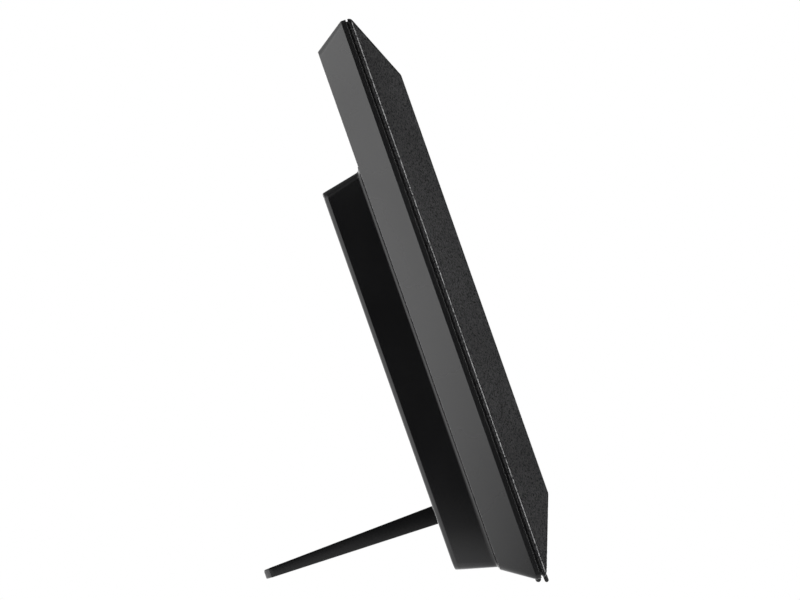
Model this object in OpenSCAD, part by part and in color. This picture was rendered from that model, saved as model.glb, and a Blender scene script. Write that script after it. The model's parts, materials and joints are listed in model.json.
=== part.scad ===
// Table-top digital photo frame: a bevelled front bezel and a bevelled rear shell
// meet at a thin reveal, a drafted cover on the back holds the electronics, and a
// leg hinged in that cover props the frame up.
//
// Every piece is drawn with the frame upright: X to the right as seen from the
// front, Y towards the back, Z up, the reveal between the shells at Y = 0 and the
// bottom of the shells at Z = 0. stood_up() then leans it back on its leg.

/* [Screen] */
// Width of the lit picture area
screen_w = 162; // [130:0.5:200]
// Height of the lit picture area
screen_h = 121.5; // [100:0.5:150]
// From the lit picture area to the bezel's ridge
screen_margin = 5.75; // [5:0.05:8]
// Metal frame of the display beyond the picture area, each side
display_rim_x = 10.5; // [9:0.1:12]
// Metal frame of the display beyond the picture area, top and bottom
display_rim_z = 9.75; // [8:0.05:11]
// Thickness of the whole display module
display_depth = 5.5; // [5:0.1:7]
// Thickness of the clear window in front of the display
window_depth = 1.2; // [0.8:0.1:2]
// How far the window and its gasket reach beyond the picture area
window_rim = 6; // [5:0.1:7]
// Thickness of the black gasket between window and display
gasket_depth = 0.6; // [0.3:0.1:1]

/* [Front bezel] */
// Width of the bevel at the left and right
border_side = 21; // [18:0.5:30]
// Width of the bevel at the top
border_top = 21; // [18:0.5:30]
// Width of the bevel at the bottom
border_bottom = 23; // [20:0.5:32]
// Depth of the bezel from the reveal to the ridge
front_depth = 9.75; // [9.5:0.05:13]
// Depth of the upright edge where the bevel starts
lip_depth = 1.1; // [0.8:0.1:2]
// Wall thickness of the front bezel
front_wall = 2.2; // [1.6:0.1:2.6]
// Depth of the window below the ridge
window_set_back = 3; // [2.5:0.1:3.5]
// Width of the flat on the ridge
ridge_flat = 1.2; // [0.8:0.1:2]
// Bare window between the bezel and the picture area
window_reveal = 2.6; // [2:0.1:3]

/* [Rear shell] */
// Gap between the front bezel and the rear shell
reveal_gap = 0.56; // [0.3:0.02:1]
// Depth of the rear shell
rear_depth = 11; // [10:0.1:15]
// Depth of the rear shell's upright edge
rear_lip = 1.5; // [1.2:0.1:2.5]
// How far the rear shell tapers in by its back face
rear_taper = 6.4; // [5:0.1:8]
// Wall thickness of the rear shell
rear_wall = 2; // [1.6:0.1:2.4]

/* [Electronics cover] */
// Width of the cover at its base
cover_w = 156; // [140:0.5:170]
// Height of the cover at its base
cover_h = 126; // [118:0.1:150]
// Depth of the cover behind the rear shell
cover_depth = 12.9; // [12:0.1:16]
// Draft of the cover's left, right and bottom sides in degrees
cover_draft = 15.2; // [8:0.1:18]
// Draft of the cover's top side in degrees
cover_top_draft = 11.6; // [8:0.1:18]
// Wall thickness of the cover
cover_wall = 1.8; // [1.4:0.1:2]

/* [Stand] */
// From the hinge to the tip of the leg
leg_len = 57.6; // [48:0.1:60]
// Width of the leg at the hinge
leg_w = 36; // [28:0.5:38]
// Width of the leg at the tip
leg_tip_w = 31; // [24:0.5:32]
// Thickness of the leg at the hinge
leg_root = 5.6; // [4.8:0.1:6.8]
// Thickness of the leg at the tip
leg_tip = 2.7; // [2.2:0.1:3.4]
// Height of the hinge above the bottom of the shells
hinge_z = 27.5; // [24:0.1:32]
// Radius of the hinge pin
pin_r = 1.25; // [1:0.05:1.5]
// Length of the rubber end on the leg
pad_len = 1.6; // [1:0.1:3]

/* [Controls] */
// Radius of the round push buttons
button_r = 3.2; // [2.6:0.1:4]
// Distance between the push buttons
button_pitch = 11; // [9.5:0.5:12]
// Travel of a push button
button_travel = 0.5; // [0.3:0.1:0.6]
// Travel of the power slide switch
switch_travel = 3; // [2:0.1:4]

/* [Circuit boards] */
// Width of the main board
board_w = 50; // [46:0.5:54]
// Height of the main board
board_h = 74; // [70:0.5:80]
// Thickness of the circuit boards
board_depth = 1.6; // [1:0.1:2]

/* [Fasteners and feet] */
// Radius of the case and cover screws
screw_r = 1.25; // [1:0.05:1.5]
// Radius of the case and cover screw heads
head_r = 2.6; // [2.2:0.1:3]
// Radius of the rubber foot strips under the rear shell
rear_foot_r = 0.83; // [0.6:0.01:0.9]
// Radius of the rubber foot strips under the front bezel
front_foot_r = 0.62; // [0.5:0.01:0.7]
// Length of each rubber foot strip
foot_len = 30; // [15:1:40]
// Radius of the round opening of a wall hanger
keyhole_r = 4.2; // [3.5:0.1:5]
// Half width of the slot of a wall hanger
keyhole_slot_r = 2.2; // [1.8:0.1:2.6]

/* [Hidden] */
$fn = 48;
eps = 0.1;            // overlap of a cutter past the face that it cuts
fit = 0.05;           // radial clearance of a pin or screw in its hole
play = 0.3;           // clearance between pieces that move
seat_gap = 0.1;       // clearance round a piece that sits in a pocket

// Shells
body_w = screen_w + 2 * (screen_margin + border_side);
body_h = screen_h + 2 * screen_margin + border_bottom + border_top;
half_w = body_w / 2;
screen_z = border_bottom + screen_margin + screen_h / 2;
front_back = -reveal_gap / 2;
lip_front = front_back - lip_depth;
ridge_y = front_back - front_depth;
window_y = ridge_y + window_set_back;
rear_front = reveal_gap / 2;
rear_lip_y = rear_front + rear_lip;
back_y = rear_front + rear_depth;
back_in_y = back_y - rear_wall;
opening_half_w = screen_w / 2 + window_reveal;
opening_half_h = screen_h / 2 + window_reveal;

// Inset of the inside of a sloping wall at depth y: the slope starts at y0 and
// comes in by `border` over `run`
function wall_inset(y, y0, border, run, wall) =
    abs(y - y0) * sign((y - y0) * run) * border / abs(run) + wall / cos(atan(border / abs(run)));
front_run = ridge_y - lip_front;
function front_inset(y, border) = wall_inset(y, lip_front, border, front_run, front_wall);
rear_run = back_y - rear_lip_y;
function rear_inset(y) = wall_inset(y, rear_lip_y, rear_taper, rear_run, rear_wall);

// Display stack, front to back
gasket_y = window_y + window_depth;
display_y = gasket_y + gasket_depth;
display_back = display_y + display_depth;
display_w = screen_w + 2 * display_rim_x;
display_h = screen_h + 2 * display_rim_z;
metal = 0.4;                                  // sheet metal of the display's frame
cell_rim = 4;                                 // glass beyond the picture area
cell_depth = 1.6;
sheet_rim = 3;                                // optical sheets beyond the picture area
sheets_depth = 0.5;
guide_depth = 2;
led_h = 2.4;
cell_y = display_y + metal;
sheets_y = cell_y + cell_depth;
guide_y = sheets_y + sheets_depth;
guide_end = guide_y + guide_depth;
plate_depth = 0.8;
plate_end = display_back + plate_depth;
ear_x = display_w / 2 + 4.4;
ear_rise = 0.33 * display_h;
ear_r = 3.9;
small_screw_r = 1;
small_head_r = 2;
small_head = 1.2;

// Case screws at the four corners
case_x = half_w - rear_taper - 7.4;
case_zs = [rear_taper + 7.2, body_h - rear_taper - 7.2];
well_floor = 1.5;
slip = 0.15;                                  // round a screw or a button in its hole
post_r = 2.4;
case_screw_len = 6.6;
cover_screw_len = 6;
screw_head = 1.6;
well_y = rear_front + 2.1;
case_boss_r = 3;

// Tongue of the rear shell, inside the bezel
tongue_in = front_inset(front_back - 0.9, max(border_side, border_top, border_bottom)) + play;
gap_rib_in = 0.7;                             // rib that closes the gap, just inside its edge
tongue_wall = 1.4;

// Cover
cover_z0 = rear_taper + 0.6;
cover_z1 = cover_z0 + cover_h;
cover_y = back_y + cover_depth;
cover_in_y = cover_y - cover_wall;
cover_half = cover_w / 2;
function cover_out(y, draft = cover_draft) = (y - back_y) * tan(draft);
function cover_inset(y, draft = cover_draft) = cover_out(y, draft) + cover_wall / cos(draft);

// Leg and its recess
hinge_y = cover_y - leg_root / 2 - 0.2;
taper_angle = asin((leg_root - leg_tip) / 2 / leg_len);
tip_y = hinge_y + leg_len;
washer_depth = 0.4;
recess_half = leg_w / 2 + washer_depth + 0.2;
recess_floor = cover_y - leg_root - 0.2 - play;
recess_z0 = hinge_z - leg_root / 2 - play;
recess_z1 = hinge_z + leg_len + 0.8;
scoop_r = 8;
boss_reach = 2.5;
hinge_boss_r = 3.2;
washer_r = 2.5;
scoop_depth = 4;
leg_rib = 0.6;                                // half the ribs between the leg's pockets
pocket_half = 12.6;
pocket_floor = 0.4;
pocket_root_gap = 9;
pocket_tip_gap = 12;
leg_corner = 3;
tenon = [20, 3, 0.9];

// Feet, and the lean that stands the feet and the leg's tip on one plane
rear_foot_y = rear_lip_y - 0.38;
rear_foot_z = -0.2;
front_foot_y = front_back - lip_depth / 2 - 0.07;
foot_run_y = tip_y - rear_foot_y;
foot_run_z = hinge_z - leg_tip / 2 / cos(taper_angle) - rear_foot_z;
lean = atan2(foot_run_z, foot_run_y) + asin(rear_foot_r / norm([foot_run_y, foot_run_z]));
ground_lift = rear_foot_r - (rear_foot_z * cos(lean) - rear_foot_y * sin(lean));
front_foot_z = (front_foot_r - ground_lift + front_foot_y * sin(lean)) / cos(lean);
foot_x = half_w - 12 - foot_len / 2;
foot_tenon = [0.6, 0.8];

// Infra-red lens in the bottom bevel
lens_z = 0.66 * border_bottom;
lens_y = lip_front + lens_z / border_bottom * front_run;
lens_tilt = 90 + atan(-front_run / border_bottom);
lens_r = 2.25;
lens_rise = 0.7;
lens_ball_r = (lens_r * lens_r + lens_rise * lens_rise) / (2 * lens_rise);
ir_z = 11;
ir_boss_x = -11.5;
ir_board_y = 2.6;

// World place of the front-most and rear-most points, for an origin mid-way between them
lens_tip_y = lens_y - lens_rise * sin(lens_tilt);
lens_tip_z = lens_z + lens_rise * cos(lens_tilt);
far_front = lens_tip_y * cos(lean) + lens_tip_z * sin(lean);
far_back = tip_y * cos(lean) + (hinge_z + leg_tip / 2 / cos(taper_angle)) * sin(lean);
origin_y = (far_front + far_back) / 2;

// Main board on standoffs behind the rear shell's back face
standoff = 2;
board_y = back_y + standoff;
board_top = board_y + board_depth;
board_x1 = cover_half - 5.5;
board_x0 = board_x1 - board_w;
board_z0 = cover_z0 + 14.2;
board_z1 = board_z0 + board_h;
board_hole_in = 4;
board_holes = [for (x = [board_x0 + board_hole_in, board_x1 - board_hole_in],
    z = [board_z0 + board_hole_in, board_z1 - board_hole_in]) [x, z]];
port_x = cover_half - cover_inset(cover_in_y) - 0.2;
jack_z = board_z0 + 11.5;
usb_z = board_z0 + 22.5;
card_z = board_z0 + 43;
switch_z = board_z0 + 63;
jack_size = [14, 7, 9];
plug_r = 3.8;
port_inside = 2;                              // how far the openings in the cover reach in past the sockets
card_mouth = 12.3;
usb_size = [9, 4, 7.8];
card_size = [26, 3, 28];
switch_size = [5, 4, 8];
knob_size = [2, 2.6];
cell_x = board_x0 + 24.5;
cell_z = board_z0 + 15;
cell_r = 6.25;
cell_h = 2;
cell_lift = 0.8;
lead_socket_x = 35.5;
lead_socket_size = [9, 3.4, 4];
ribbon = 0.3;
ribbon_socket_h = 2.2;
ribbon_slot_z = board_z1 + 3.4;
ribbon_top_y = board_top + 1.4;

// Cover screws, speakers and wall hangers
cover_screw_x = cover_half - 9;
cover_screw_zs = [cover_z0 + 8.4, board_z1 + 5];
cover_boss = 3.9;
cover_post_r = 3.2;
cover_screws_at = [for (x = [-cover_screw_x, cover_screw_x], z = cover_screw_zs) [x, z]];
speaker_r = 12.5;
speaker_x = 38;
speaker_z = cover_z1 - 20.5;
speaker_depth = 5;
speaker_gasket = 0.6;
hanger_x = cover_half - 16;
hanger_z = cover_z1 - 16.1;
hanger_size = [16, 1, 19];
hanger_open = [11, 15];
hanger_open_down = 2.5;                       // the opening's centre below the plate's
stud_x = 6.6;                                 // melted studs that hold each hanger plate
stud_z = 6.5;
stud_r = 0.8;
stud_head_r = 1.3;
stud_head = 0.8;
keyhole_rise = 7.5;
vent_count = 7;
vent_pitch = 5;
vent_size = [26, 1.8];
vent_z = cover_z0 + 32;
grille_r = 0.9;
grille_pitch = 3.4;
basket_wall = 1.2;
basket_h = 2.6;
magnet_r = 8;
hanger_y = cover_in_y - hanger_size[1] - 0.08;

// Push buttons along the shoulder above the cover
button_z = (cover_z1 + body_h - rear_taper) / 2;
button_count = 7;
button_post_in = 8.5;                         // from the outer buttons to the posts of their board
button_board_end = 4;                         // board beyond its posts
button_x0 = case_x - head_r - 2.8 - button_board_end - button_post_in - (button_count - 1) * button_pitch;
button_top = back_y - 0.1;
flange_depth = 0.8;
flange_y = back_in_y - 0.2 - flange_depth;
plunger_gap = button_travel + 0.1;
button_board_y = 3.2;
button_board_depth = 1.2;
tact_body = 2.6;
tact_half = 3;
plunger_r = 1.6;
button_board_half = 5.5;
flange_reach = 0.9;
post_x = [button_x0 - button_post_in, button_x0 + (button_count - 1) * button_pitch + button_post_in];

// ---- Helpers ------------------------------------------------------------

// Extrudes an outline drawn as (y, z) across the width, from x0 to x1
module across(x0, x1) {
    translate([x0, 0, 0]) rotate([90, 0, 90]) linear_extrude(x1 - x0) children();
}

// Extrudes an outline drawn as (x, y) upwards, from z0 to z1
module upwards(z0, z1) {
    translate([0, 0, z0]) linear_extrude(z1 - z0) children();
}

// Extrudes an outline drawn as (x, z) backwards, from y0 to y1
module backwards(y0, y1) {
    translate([0, y1, 0]) rotate([90, 0, 0]) linear_extrude(y1 - y0) children();
}

// A box from its lowest corner to its highest corner
module block(lo, hi) {
    translate(lo) cube(hi - lo);
}

// A round bar or hole along Y at (x, z)
module bar_y(r, y0, y1, x, z) {
    translate([x, y0, z]) rotate([-90, 0, 0]) cylinder(r = r, h = y1 - y0);
}

// A round bar or hole along X at (y, z)
module bar_x(r, x0, x1, y, z) {
    translate([x0, y, z]) rotate([0, 90, 0]) cylinder(r = r, h = x1 - x0);
}

// A block that tapers on all four sides between depth y0, with insets in0 from the
// rectangle [half width, bottom, top], and depth y1, with insets in1. An inset is
// [side, bottom, top].
module tapered(half, bottom, top, y0, in0, y1, in1) {
    intersection() {
        across(-half, half) polygon([
            [y0, bottom + in0[1]], [y1, bottom + in1[1]],
            [y1, top - in1[2]], [y0, top - in0[2]]
        ]);
        upwards(bottom, top) polygon([
            [-half + in0[0], y0], [-half + in1[0], y1],
            [half - in1[0], y1], [half - in0[0], y0]
        ]);
    }
}

// A screw whose head's underside is at y, pointing to the front
module screw(x, z, y, r, len, h_r, h_len) {
    difference() {
        union() {
            bar_y(h_r, y, y + h_len, x, z);
            bar_y(r, y - len, y + eps, x, z);
        }
        for (turn = [0, 90])
            translate([x, y + h_len, z]) rotate([0, turn, 0])
                cube([h_r * 1.1, h_len, h_r * 0.28], center = true);
    }
}

// Leans the upright frame back and stands it on the ground
module stood_up() {
    translate([0, -origin_y, ground_lift]) rotate([-lean, 0, 0]) children();
}

// ---- Front --------------------------------------------------------------

// Recessed opening of the bezel, splayed from the window up to the ridge
module bezel_opening() {
    splay = screen_margin - window_reveal - ridge_flat;
    past = splay * (1 + eps / window_set_back);
    tapered(opening_half_w + past, screen_z - opening_half_h - past, screen_z + opening_half_h + past,
        ridge_y - eps, [0, 0, 0], window_y, [past, past, past]);
    block([-opening_half_w, window_y - eps, screen_z - opening_half_h],
        [opening_half_w, window_y + eps, screen_z + opening_half_h]);
}

module foot_slots(y, x) {
    for (side = [-1, 1])
        block([side * x - foot_len / 2 - seat_gap, y - foot_tenon[0] / 2 - fit, -eps],
            [side * x + foot_len / 2 + seat_gap, y + foot_tenon[0] / 2 + fit, foot_tenon[1] + seat_gap]);
}

module front_bezel() {
    inner = [for (y = [eps, window_y]) [front_inset(y, border_side), front_inset(y, border_bottom),
        front_inset(y, border_top)]];
    color("#3a3a3c") difference() {
        union() {
            difference() {
                union() {
                    block([-half_w, lip_front, 0], [half_w, front_back, body_h]);
                    tapered(half_w, 0, body_h, lip_front, [0, 0, 0],
                        ridge_y, [border_side, border_bottom, border_top]);
                }
                tapered(half_w, 0, body_h, eps, inner[0], window_y, inner[1]);
            }
            for (x = [-case_x, case_x], z = case_zs)
                bar_y(case_boss_r, lip_front - 3.4, well_y, x, z);
            for (x = [-ear_x, ear_x], z = [-ear_rise, ear_rise])
                bar_y(case_boss_r - 0.4, lip_front - 2.8, display_back, x, screen_z + z);
            bar_y(2.2, lip_front - 2, ir_board_y, ir_boss_x, ir_z);
        }
        bezel_opening();
        for (x = [-case_x, case_x], z = case_zs)
            bar_y(screw_r + fit, lip_front - 2.2, well_y + eps, x, z);
        for (x = [-ear_x, ear_x], z = [-ear_rise, ear_rise])
            bar_y(small_screw_r + fit, lip_front - 2, display_back + eps, x, screen_z + z);
        bar_y(small_screw_r + fit, lip_front - 1.5, ir_board_y + eps, ir_boss_x, ir_z);
        translate([0, lens_y, lens_z]) rotate([lens_tilt, 0, 0])
            translate([0, 0, -front_wall - 1]) cylinder(r = lens_r - 0.2 + fit, h = front_wall + 2);
        foot_slots(front_foot_y, foot_x);
    }
}

module screen_sheet(rim, y0, y1, extra_bottom = 0) {
    block([-screen_w / 2 - rim, y0, screen_z - screen_h / 2 - rim + extra_bottom],
        [screen_w / 2 + rim, y1, screen_z + screen_h / 2 + rim]);
}

module screen_window() color([0.06, 0.06, 0.07, 0.5]) screen_sheet(window_rim, window_y, gasket_y);

module window_gasket() {
    color("#101010") difference() {
        screen_sheet(window_rim, gasket_y, display_y);
        screen_sheet(1, gasket_y - eps, display_y + eps);
    }
}

module lcd_glass() color("#0b0c10") screen_sheet(cell_rim, cell_y, sheets_y);

module display_box(grow, y0, y1) {
    block([-display_w / 2 - grow, y0, screen_z - display_h / 2 - grow],
        [display_w / 2 + grow, y1, screen_z + display_h / 2 + grow]);
}

module lcd_metal_frame() {
    color("#a9abad") difference() {
        display_box(0, display_y, display_back);
        display_box(-metal, cell_y, display_back + eps);
        screen_sheet(1, display_y - eps, cell_y + eps);
    }
}

module diffuser_sheets() color("#f2f2ee") screen_sheet(sheet_rim, sheets_y, guide_y);

module light_guide() color("#e6eef0") screen_sheet(sheet_rim, guide_y, guide_end, led_h + seat_gap);

module led_strip() {
    z = screen_z - screen_h / 2 - sheet_rim;
    color("#f5e8a0") block([-screen_w / 2, guide_y + seat_gap, z], [screen_w / 2, guide_end, z + led_h]);
}

module backlight_tray() {
    color("#f4f4f2") difference() {
        display_box(-metal - seat_gap, cell_y, display_back);
        screen_sheet(cell_rim + seat_gap, cell_y - eps, sheets_y);
        screen_sheet(sheet_rim + seat_gap, cell_y - eps, guide_end);
    }
}

module support_plate() {
    color("#b8babc") difference() {
        union() {
            display_box(0, display_back, plate_end);
            for (x = [-ear_x, ear_x], z = [-ear_rise, ear_rise]) {
                bar_y(ear_r, display_back, plate_end, x, screen_z + z);
                block([min(x, sign(x) * display_w / 2), display_back, screen_z + z - ear_r],
                    [max(x, sign(x) * display_w / 2), plate_end, screen_z + z + ear_r]);
            }
        }
        for (x = [-ear_x, ear_x], z = [-ear_rise, ear_rise])
            bar_y(small_screw_r + 0.2, display_back - eps, plate_end + eps, x, screen_z + z);
        for (x = [-0.3, 0, 0.3], z = [-0.27, 0.27])
            bar_y(9, display_back - eps, plate_end + eps, x * display_w, screen_z + z * display_h);
    }
}

module support_screws() {
    color("#8c8f92") for (x = [-ear_x, ear_x], z = [-ear_rise, ear_rise])
        screw(x, screen_z + z, plate_end, small_screw_r, 3.6, small_head_r, small_head);
}

module ir_lens() {
    color("#1a0f12") translate([0, lens_y, lens_z]) rotate([lens_tilt, 0, 0]) {
        intersection() {
            translate([0, 0, lens_rise - lens_ball_r]) sphere(r = lens_ball_r);
            cylinder(r = lens_r, h = lens_rise + eps);
        }
        translate([0, 0, -front_wall - 0.3]) cylinder(r = lens_r - 0.2, h = front_wall + 0.4);
        translate([0, 0, -front_wall - 0.7]) cylinder(r = lens_r + 0.7, h = 0.6);
    }
}

module ir_board() {
    color("#1f5b3a") difference() {
        block([ir_boss_x - 3, ir_board_y, ir_z - 5], [8, ir_board_y + 1.2, ir_z + 5]);
        bar_y(small_screw_r + 0.2, ir_board_y - eps, ir_board_y + 1.2 + eps, ir_boss_x, ir_z);
    }
}

module ir_receiver() {
    color("#15151a") {
        block([-2.8, ir_board_y - 2.2, ir_z - 3], [2.8, ir_board_y, ir_z + 3]);
        translate([0, ir_board_y - 2.2, ir_z]) intersection() {
            sphere(r = 1.6);
            block([-2, -2, -2], [2, eps, 2]);
        }
    }
}

module ir_screw() {
    color("#8c8f92") screw(ir_boss_x, ir_z, ir_board_y + 1.2, small_screw_r, 4.4, small_head_r, small_head);
}

// ---- Rear shell ---------------------------------------------------------

module ring_ledge(y0, y1, in0, in1) {
    difference() {
        block([-half_w + in0, y0, in0], [half_w - in0, y1, body_h - in0]);
        block([-half_w + in1, y0 - eps, in1], [half_w - in1, y1 + eps, body_h - in1]);
    }
}

module rear_shell() {
    inner = [for (y = [rear_front - eps, back_in_y]) [rear_inset(y), rear_inset(y), rear_inset(y)]];
    taper = [rear_taper, rear_taper, rear_taper];
    color("#2b2b2c") difference() {
        union() {
            difference() {
                union() {
                    block([-half_w, rear_front, 0], [half_w, rear_lip_y, body_h]);
                    tapered(half_w, 0, body_h, rear_lip_y, [0, 0, 0], back_y, taper);
                }
                tapered(half_w, 0, body_h, rear_front - eps, inner[0], back_in_y, inner[1]);
            }
            ring_ledge(rear_front, rear_front + 1.3, 1.2, tongue_in + tongue_wall);
            ring_ledge(front_back - 0.7, rear_front + eps, tongue_in, tongue_in + tongue_wall);
            ring_ledge(front_back + seat_gap, rear_front + eps, gap_rib_in, tongue_in + eps);
            for (x = [-case_x, case_x], z = case_zs)
                bar_y(head_r + 2, well_y, back_y - eps, x, z);
            for (x = post_x)
                bar_y(post_r, button_board_y + button_board_depth, back_in_y + eps, x, button_z);
            for (p = board_holes)
                bar_y(post_r, back_y - eps, board_y, p[0], p[1]);
            for (p = cover_screws_at)
                bar_y(cover_post_r, back_y - eps, back_y + cover_boss, p[0], p[1]);
        }
        for (x = [-case_x, case_x], z = case_zs) {
            bar_y(head_r + 0.6, well_y + well_floor, back_y + eps, x, z);
            bar_y(screw_r + slip, well_y - eps, back_y, x, z);
        }
        for (i = [0:button_count - 1])
            bar_y(button_r + slip, back_in_y - eps, back_y + eps, button_x0 + i * button_pitch, button_z);
        for (x = post_x)
            bar_y(small_screw_r + fit, button_board_y, back_in_y - 0.6, x, button_z);
        for (p = board_holes)
            bar_y(small_screw_r + fit, back_y - 1.2, board_y + eps, p[0], p[1]);
        for (p = cover_screws_at)
            bar_y(screw_r + fit, back_y - 1.2, back_y + cover_boss + eps, p[0], p[1]);
        block([board_x0 + 5.5, back_in_y - eps, ribbon_slot_z - 1.6],
            [board_x1 - 8, back_y + eps, ribbon_slot_z + 2.4]);
        foot_slots(rear_foot_y - 0.3, foot_x);
    }
}

module case_screws() {
    color("#55585a") for (x = [-case_x, case_x], z = case_zs)
        screw(x, z, well_y + well_floor, screw_r, case_screw_len, head_r, screw_head);
}

// ---- Circuit boards and what is on them ---------------------------------

module main_board() {
    color("#1c5a38") difference() {
        block([board_x0, board_y, board_z0], [board_x1, board_top, board_z1]);
        for (p = board_holes)
            bar_y(small_screw_r + 0.3, board_y - eps, board_top + eps, p[0], p[1]);
    }
}

module board_screws() {
    color("#8c8f92") for (p = board_holes)
        screw(p[0], p[1], board_top, small_screw_r, 4.2, small_head_r, small_head);
}

// A flat chip on the main board, centred at (x, z)
module on_board(x, z, size) {
    block([x - size[0] / 2, board_top, z - size[2] / 2], [x + size[0] / 2, board_top + size[1], z + size[2] / 2]);
}

module processor() color("#141416") on_board(board_x0 + 12.5, board_z0 + 41, [17, 1.4, 17]);

module memory_chips() {
    color("#141416") for (z = [14, 59]) on_board(board_x0 + 8.5, board_z0 + z, [9, 1.1, 12]);
}

module capacitors() {
    color("#b9bcc4") for (x = [19.5, 27])
        bar_y(3, board_top, board_top + 5.6, board_x0 + x, board_z0 + 61.5);
}

module cell_holder() {
    color("#222224") difference() {
        on_board(cell_x, cell_z, [16, 3.4, 16]);
        bar_y(cell_r + slip, board_top + cell_lift, board_top + 4, cell_x, cell_z);
    }
}

module coin_cell() {
    color("#c8cacc") bar_y(cell_r, board_top + cell_lift, board_top + cell_lift + cell_h, cell_x, cell_z);
}

module ribbon_sockets() {
    color("#e9e2cf") difference() {
        for (span = [[6.5, 14.5], [15.2, 41.8]])
            block([board_x0 + span[0], board_top, board_z1 - 5.5],
                [board_x0 + span[1], board_top + ribbon_socket_h, board_z1 - 1.5]);
        block([board_x0, ribbon_top_y - fit, board_z1 - 4.5], [board_x1, ribbon_top_y + ribbon + fit, board_z1]);
    }
}

module card_socket() {
    color("#b4b7b9") difference() {
        block([port_x - card_size[0], board_top, card_z - card_size[2] / 2],
            [port_x, board_top + card_size[1], card_z + card_size[2] / 2]);
        block([port_x - card_size[0] + 1.5, board_top + 0.4, card_z - card_mouth],
            [port_x + eps, board_top + 2.6, card_z + card_mouth]);
    }
}

module usb_socket() {
    color("#b4b7b9") difference() {
        block([port_x - usb_size[0], board_top, usb_z - usb_size[2] / 2],
            [port_x, board_top + usb_size[1], usb_z + usb_size[2] / 2]);
        difference() {
            block([port_x - 7, board_top + 0.5, usb_z - 3.4], [port_x + eps, board_top + 3.5, usb_z + 3.4]);
            block([port_x - 7, board_top + 1.7, usb_z - 2.4], [port_x - 1, board_top + 2.5, usb_z + 2.4]);
        }
    }
}

module dc_jack() {
    y = board_top + jack_size[1] / 2;
    color("#17171a") {
        difference() {
            block([port_x - jack_size[0], board_top, jack_z - jack_size[2] / 2],
                [port_x, board_top + jack_size[1], jack_z + jack_size[2] / 2]);
            bar_x(2.85, port_x - 9.5, port_x + eps, y, jack_z);
        }
        bar_x(1, port_x - 10, port_x - 1, y, jack_z);
    }
}

module power_switch() {
    y = board_top + switch_size[1] / 2;
    color("#26262a") difference() {
        block([port_x - 4 - switch_size[0], board_top, switch_z - switch_size[2] / 2],
            [port_x - 4, board_top + switch_size[1], switch_z + switch_size[2] / 2]);
        block([port_x - 7, y - knob_size[0] / 2 - play, switch_z - switch_travel / 2 - knob_size[1] / 2 - play],
            [port_x, y + knob_size[0] / 2 + play, switch_z + switch_travel / 2 + knob_size[1] / 2 + play]);
    }
}

module power_knob() {
    y = board_top + switch_size[1] / 2;
    z = switch_z - switch_travel / 2;
    reach = cover_half - cover_out(y) + 0.9;
    color("#3a3a3c") block([port_x - 6.6, y - knob_size[0] / 2, z - knob_size[1] / 2],
        [reach, y + knob_size[0] / 2, z + knob_size[1] / 2]);
}

module lead_socket() color("#f0efe8") on_board(board_x0 + lead_socket_x, lead_pin_z - 2, lead_socket_size);

module ribbon_path(x0, x1, from_y, from_z) {
    color("#d8d6cf") across(x0, x1) {
        translate([from_y, min(from_z, ribbon_slot_z)]) square([ribbon, abs(ribbon_slot_z - from_z)]);
        translate([from_y, ribbon_slot_z]) square([ribbon_top_y + ribbon - from_y, ribbon]);
        translate([ribbon_top_y, board_z1 - 4]) square([ribbon, ribbon_slot_z - board_z1 + 4 + ribbon]);
    }
}

module lcd_ribbon() ribbon_path(board_x0 + 15.8, board_x0 + 41.2, plate_end + fit, ribbon_slot_z - 24);

module button_ribbon() {
    ribbon_path(board_x0 + 7, board_x0 + 14, button_board_y - ribbon, button_z - 3);
}

module button_board() {
    color("#1c5a38") difference() {
        block([post_x[0] - button_board_end, button_board_y, button_z - button_board_half],
            [post_x[1] + button_board_end, button_board_y + button_board_depth, button_z + button_board_half]);
        for (x = post_x)
            bar_y(small_screw_r + 0.2, button_board_y - eps, button_board_y + button_board_depth + eps, x, button_z);
    }
}

module button_board_screws() {
    color("#8c8f92") for (x = post_x)
        mirror([0, 1, 0]) translate([0, -2 * button_board_y, 0])
            screw(x, button_z, button_board_y, small_screw_r, 4.8, small_head_r, small_head);
}

module tact_switches() {
    top = button_board_y + button_board_depth;
    for (i = [0:button_count - 1]) {
        x = button_x0 + i * button_pitch;
        color("#b9bcc0") block([x - tact_half, top, button_z - tact_half],
            [x + tact_half, top + tact_body, button_z + tact_half]);
        color("#1a1a1a") bar_y(plunger_r, top + tact_body, flange_y - plunger_gap, x, button_z);
    }
}

// Round cap with a flange that keeps it behind the rear shell's back face
module push_button(i) {
    x = button_x0 + i * button_pitch;
    color("#1b1b1d") union() {
        bar_y(button_r, flange_y, button_top, x, button_z);
        bar_y(button_r + flange_reach, flange_y, flange_y + flange_depth, x, button_z);
    }
}

// ---- Speakers -----------------------------------------------------------

speaker_front = cover_in_y - speaker_gasket;

module at_speakers() {
    for (side = [-1, 1])
        translate([side * speaker_x, speaker_front, speaker_z]) rotate([90, 0, 0]) children();
}

module speaker_baskets() {
    color("#3c3f42") at_speakers() {
        difference() {
            cylinder(r = speaker_r, h = basket_h);
            translate([0, 0, -eps]) cylinder(r = speaker_r - basket_wall, h = basket_h - 0.7);
        }
        translate([0, 0, basket_h - 0.1]) cylinder(r = magnet_r, h = speaker_depth - basket_h + 0.1);
    }
}

module speaker_cones() {
    color("#1d1d1f") at_speakers() rotate_extrude() polygon([
        [0, 0.5], [3, 0.9], [speaker_r - 3, 0.2], [speaker_r - 1.3, 0.2],
        [speaker_r - 1.3, 0.6], [speaker_r - 3, 0.7], [3, 1.5], [0, 1.1]
    ]);
}

module speaker_gaskets() {
    color("#0d0d0d") at_speakers() translate([0, 0, -speaker_gasket]) difference() {
        cylinder(r = speaker_r, h = speaker_gasket);
        translate([0, 0, -eps]) cylinder(r = speaker_r - 1.6, h = speaker_gasket + 2 * eps);
    }
}

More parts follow.
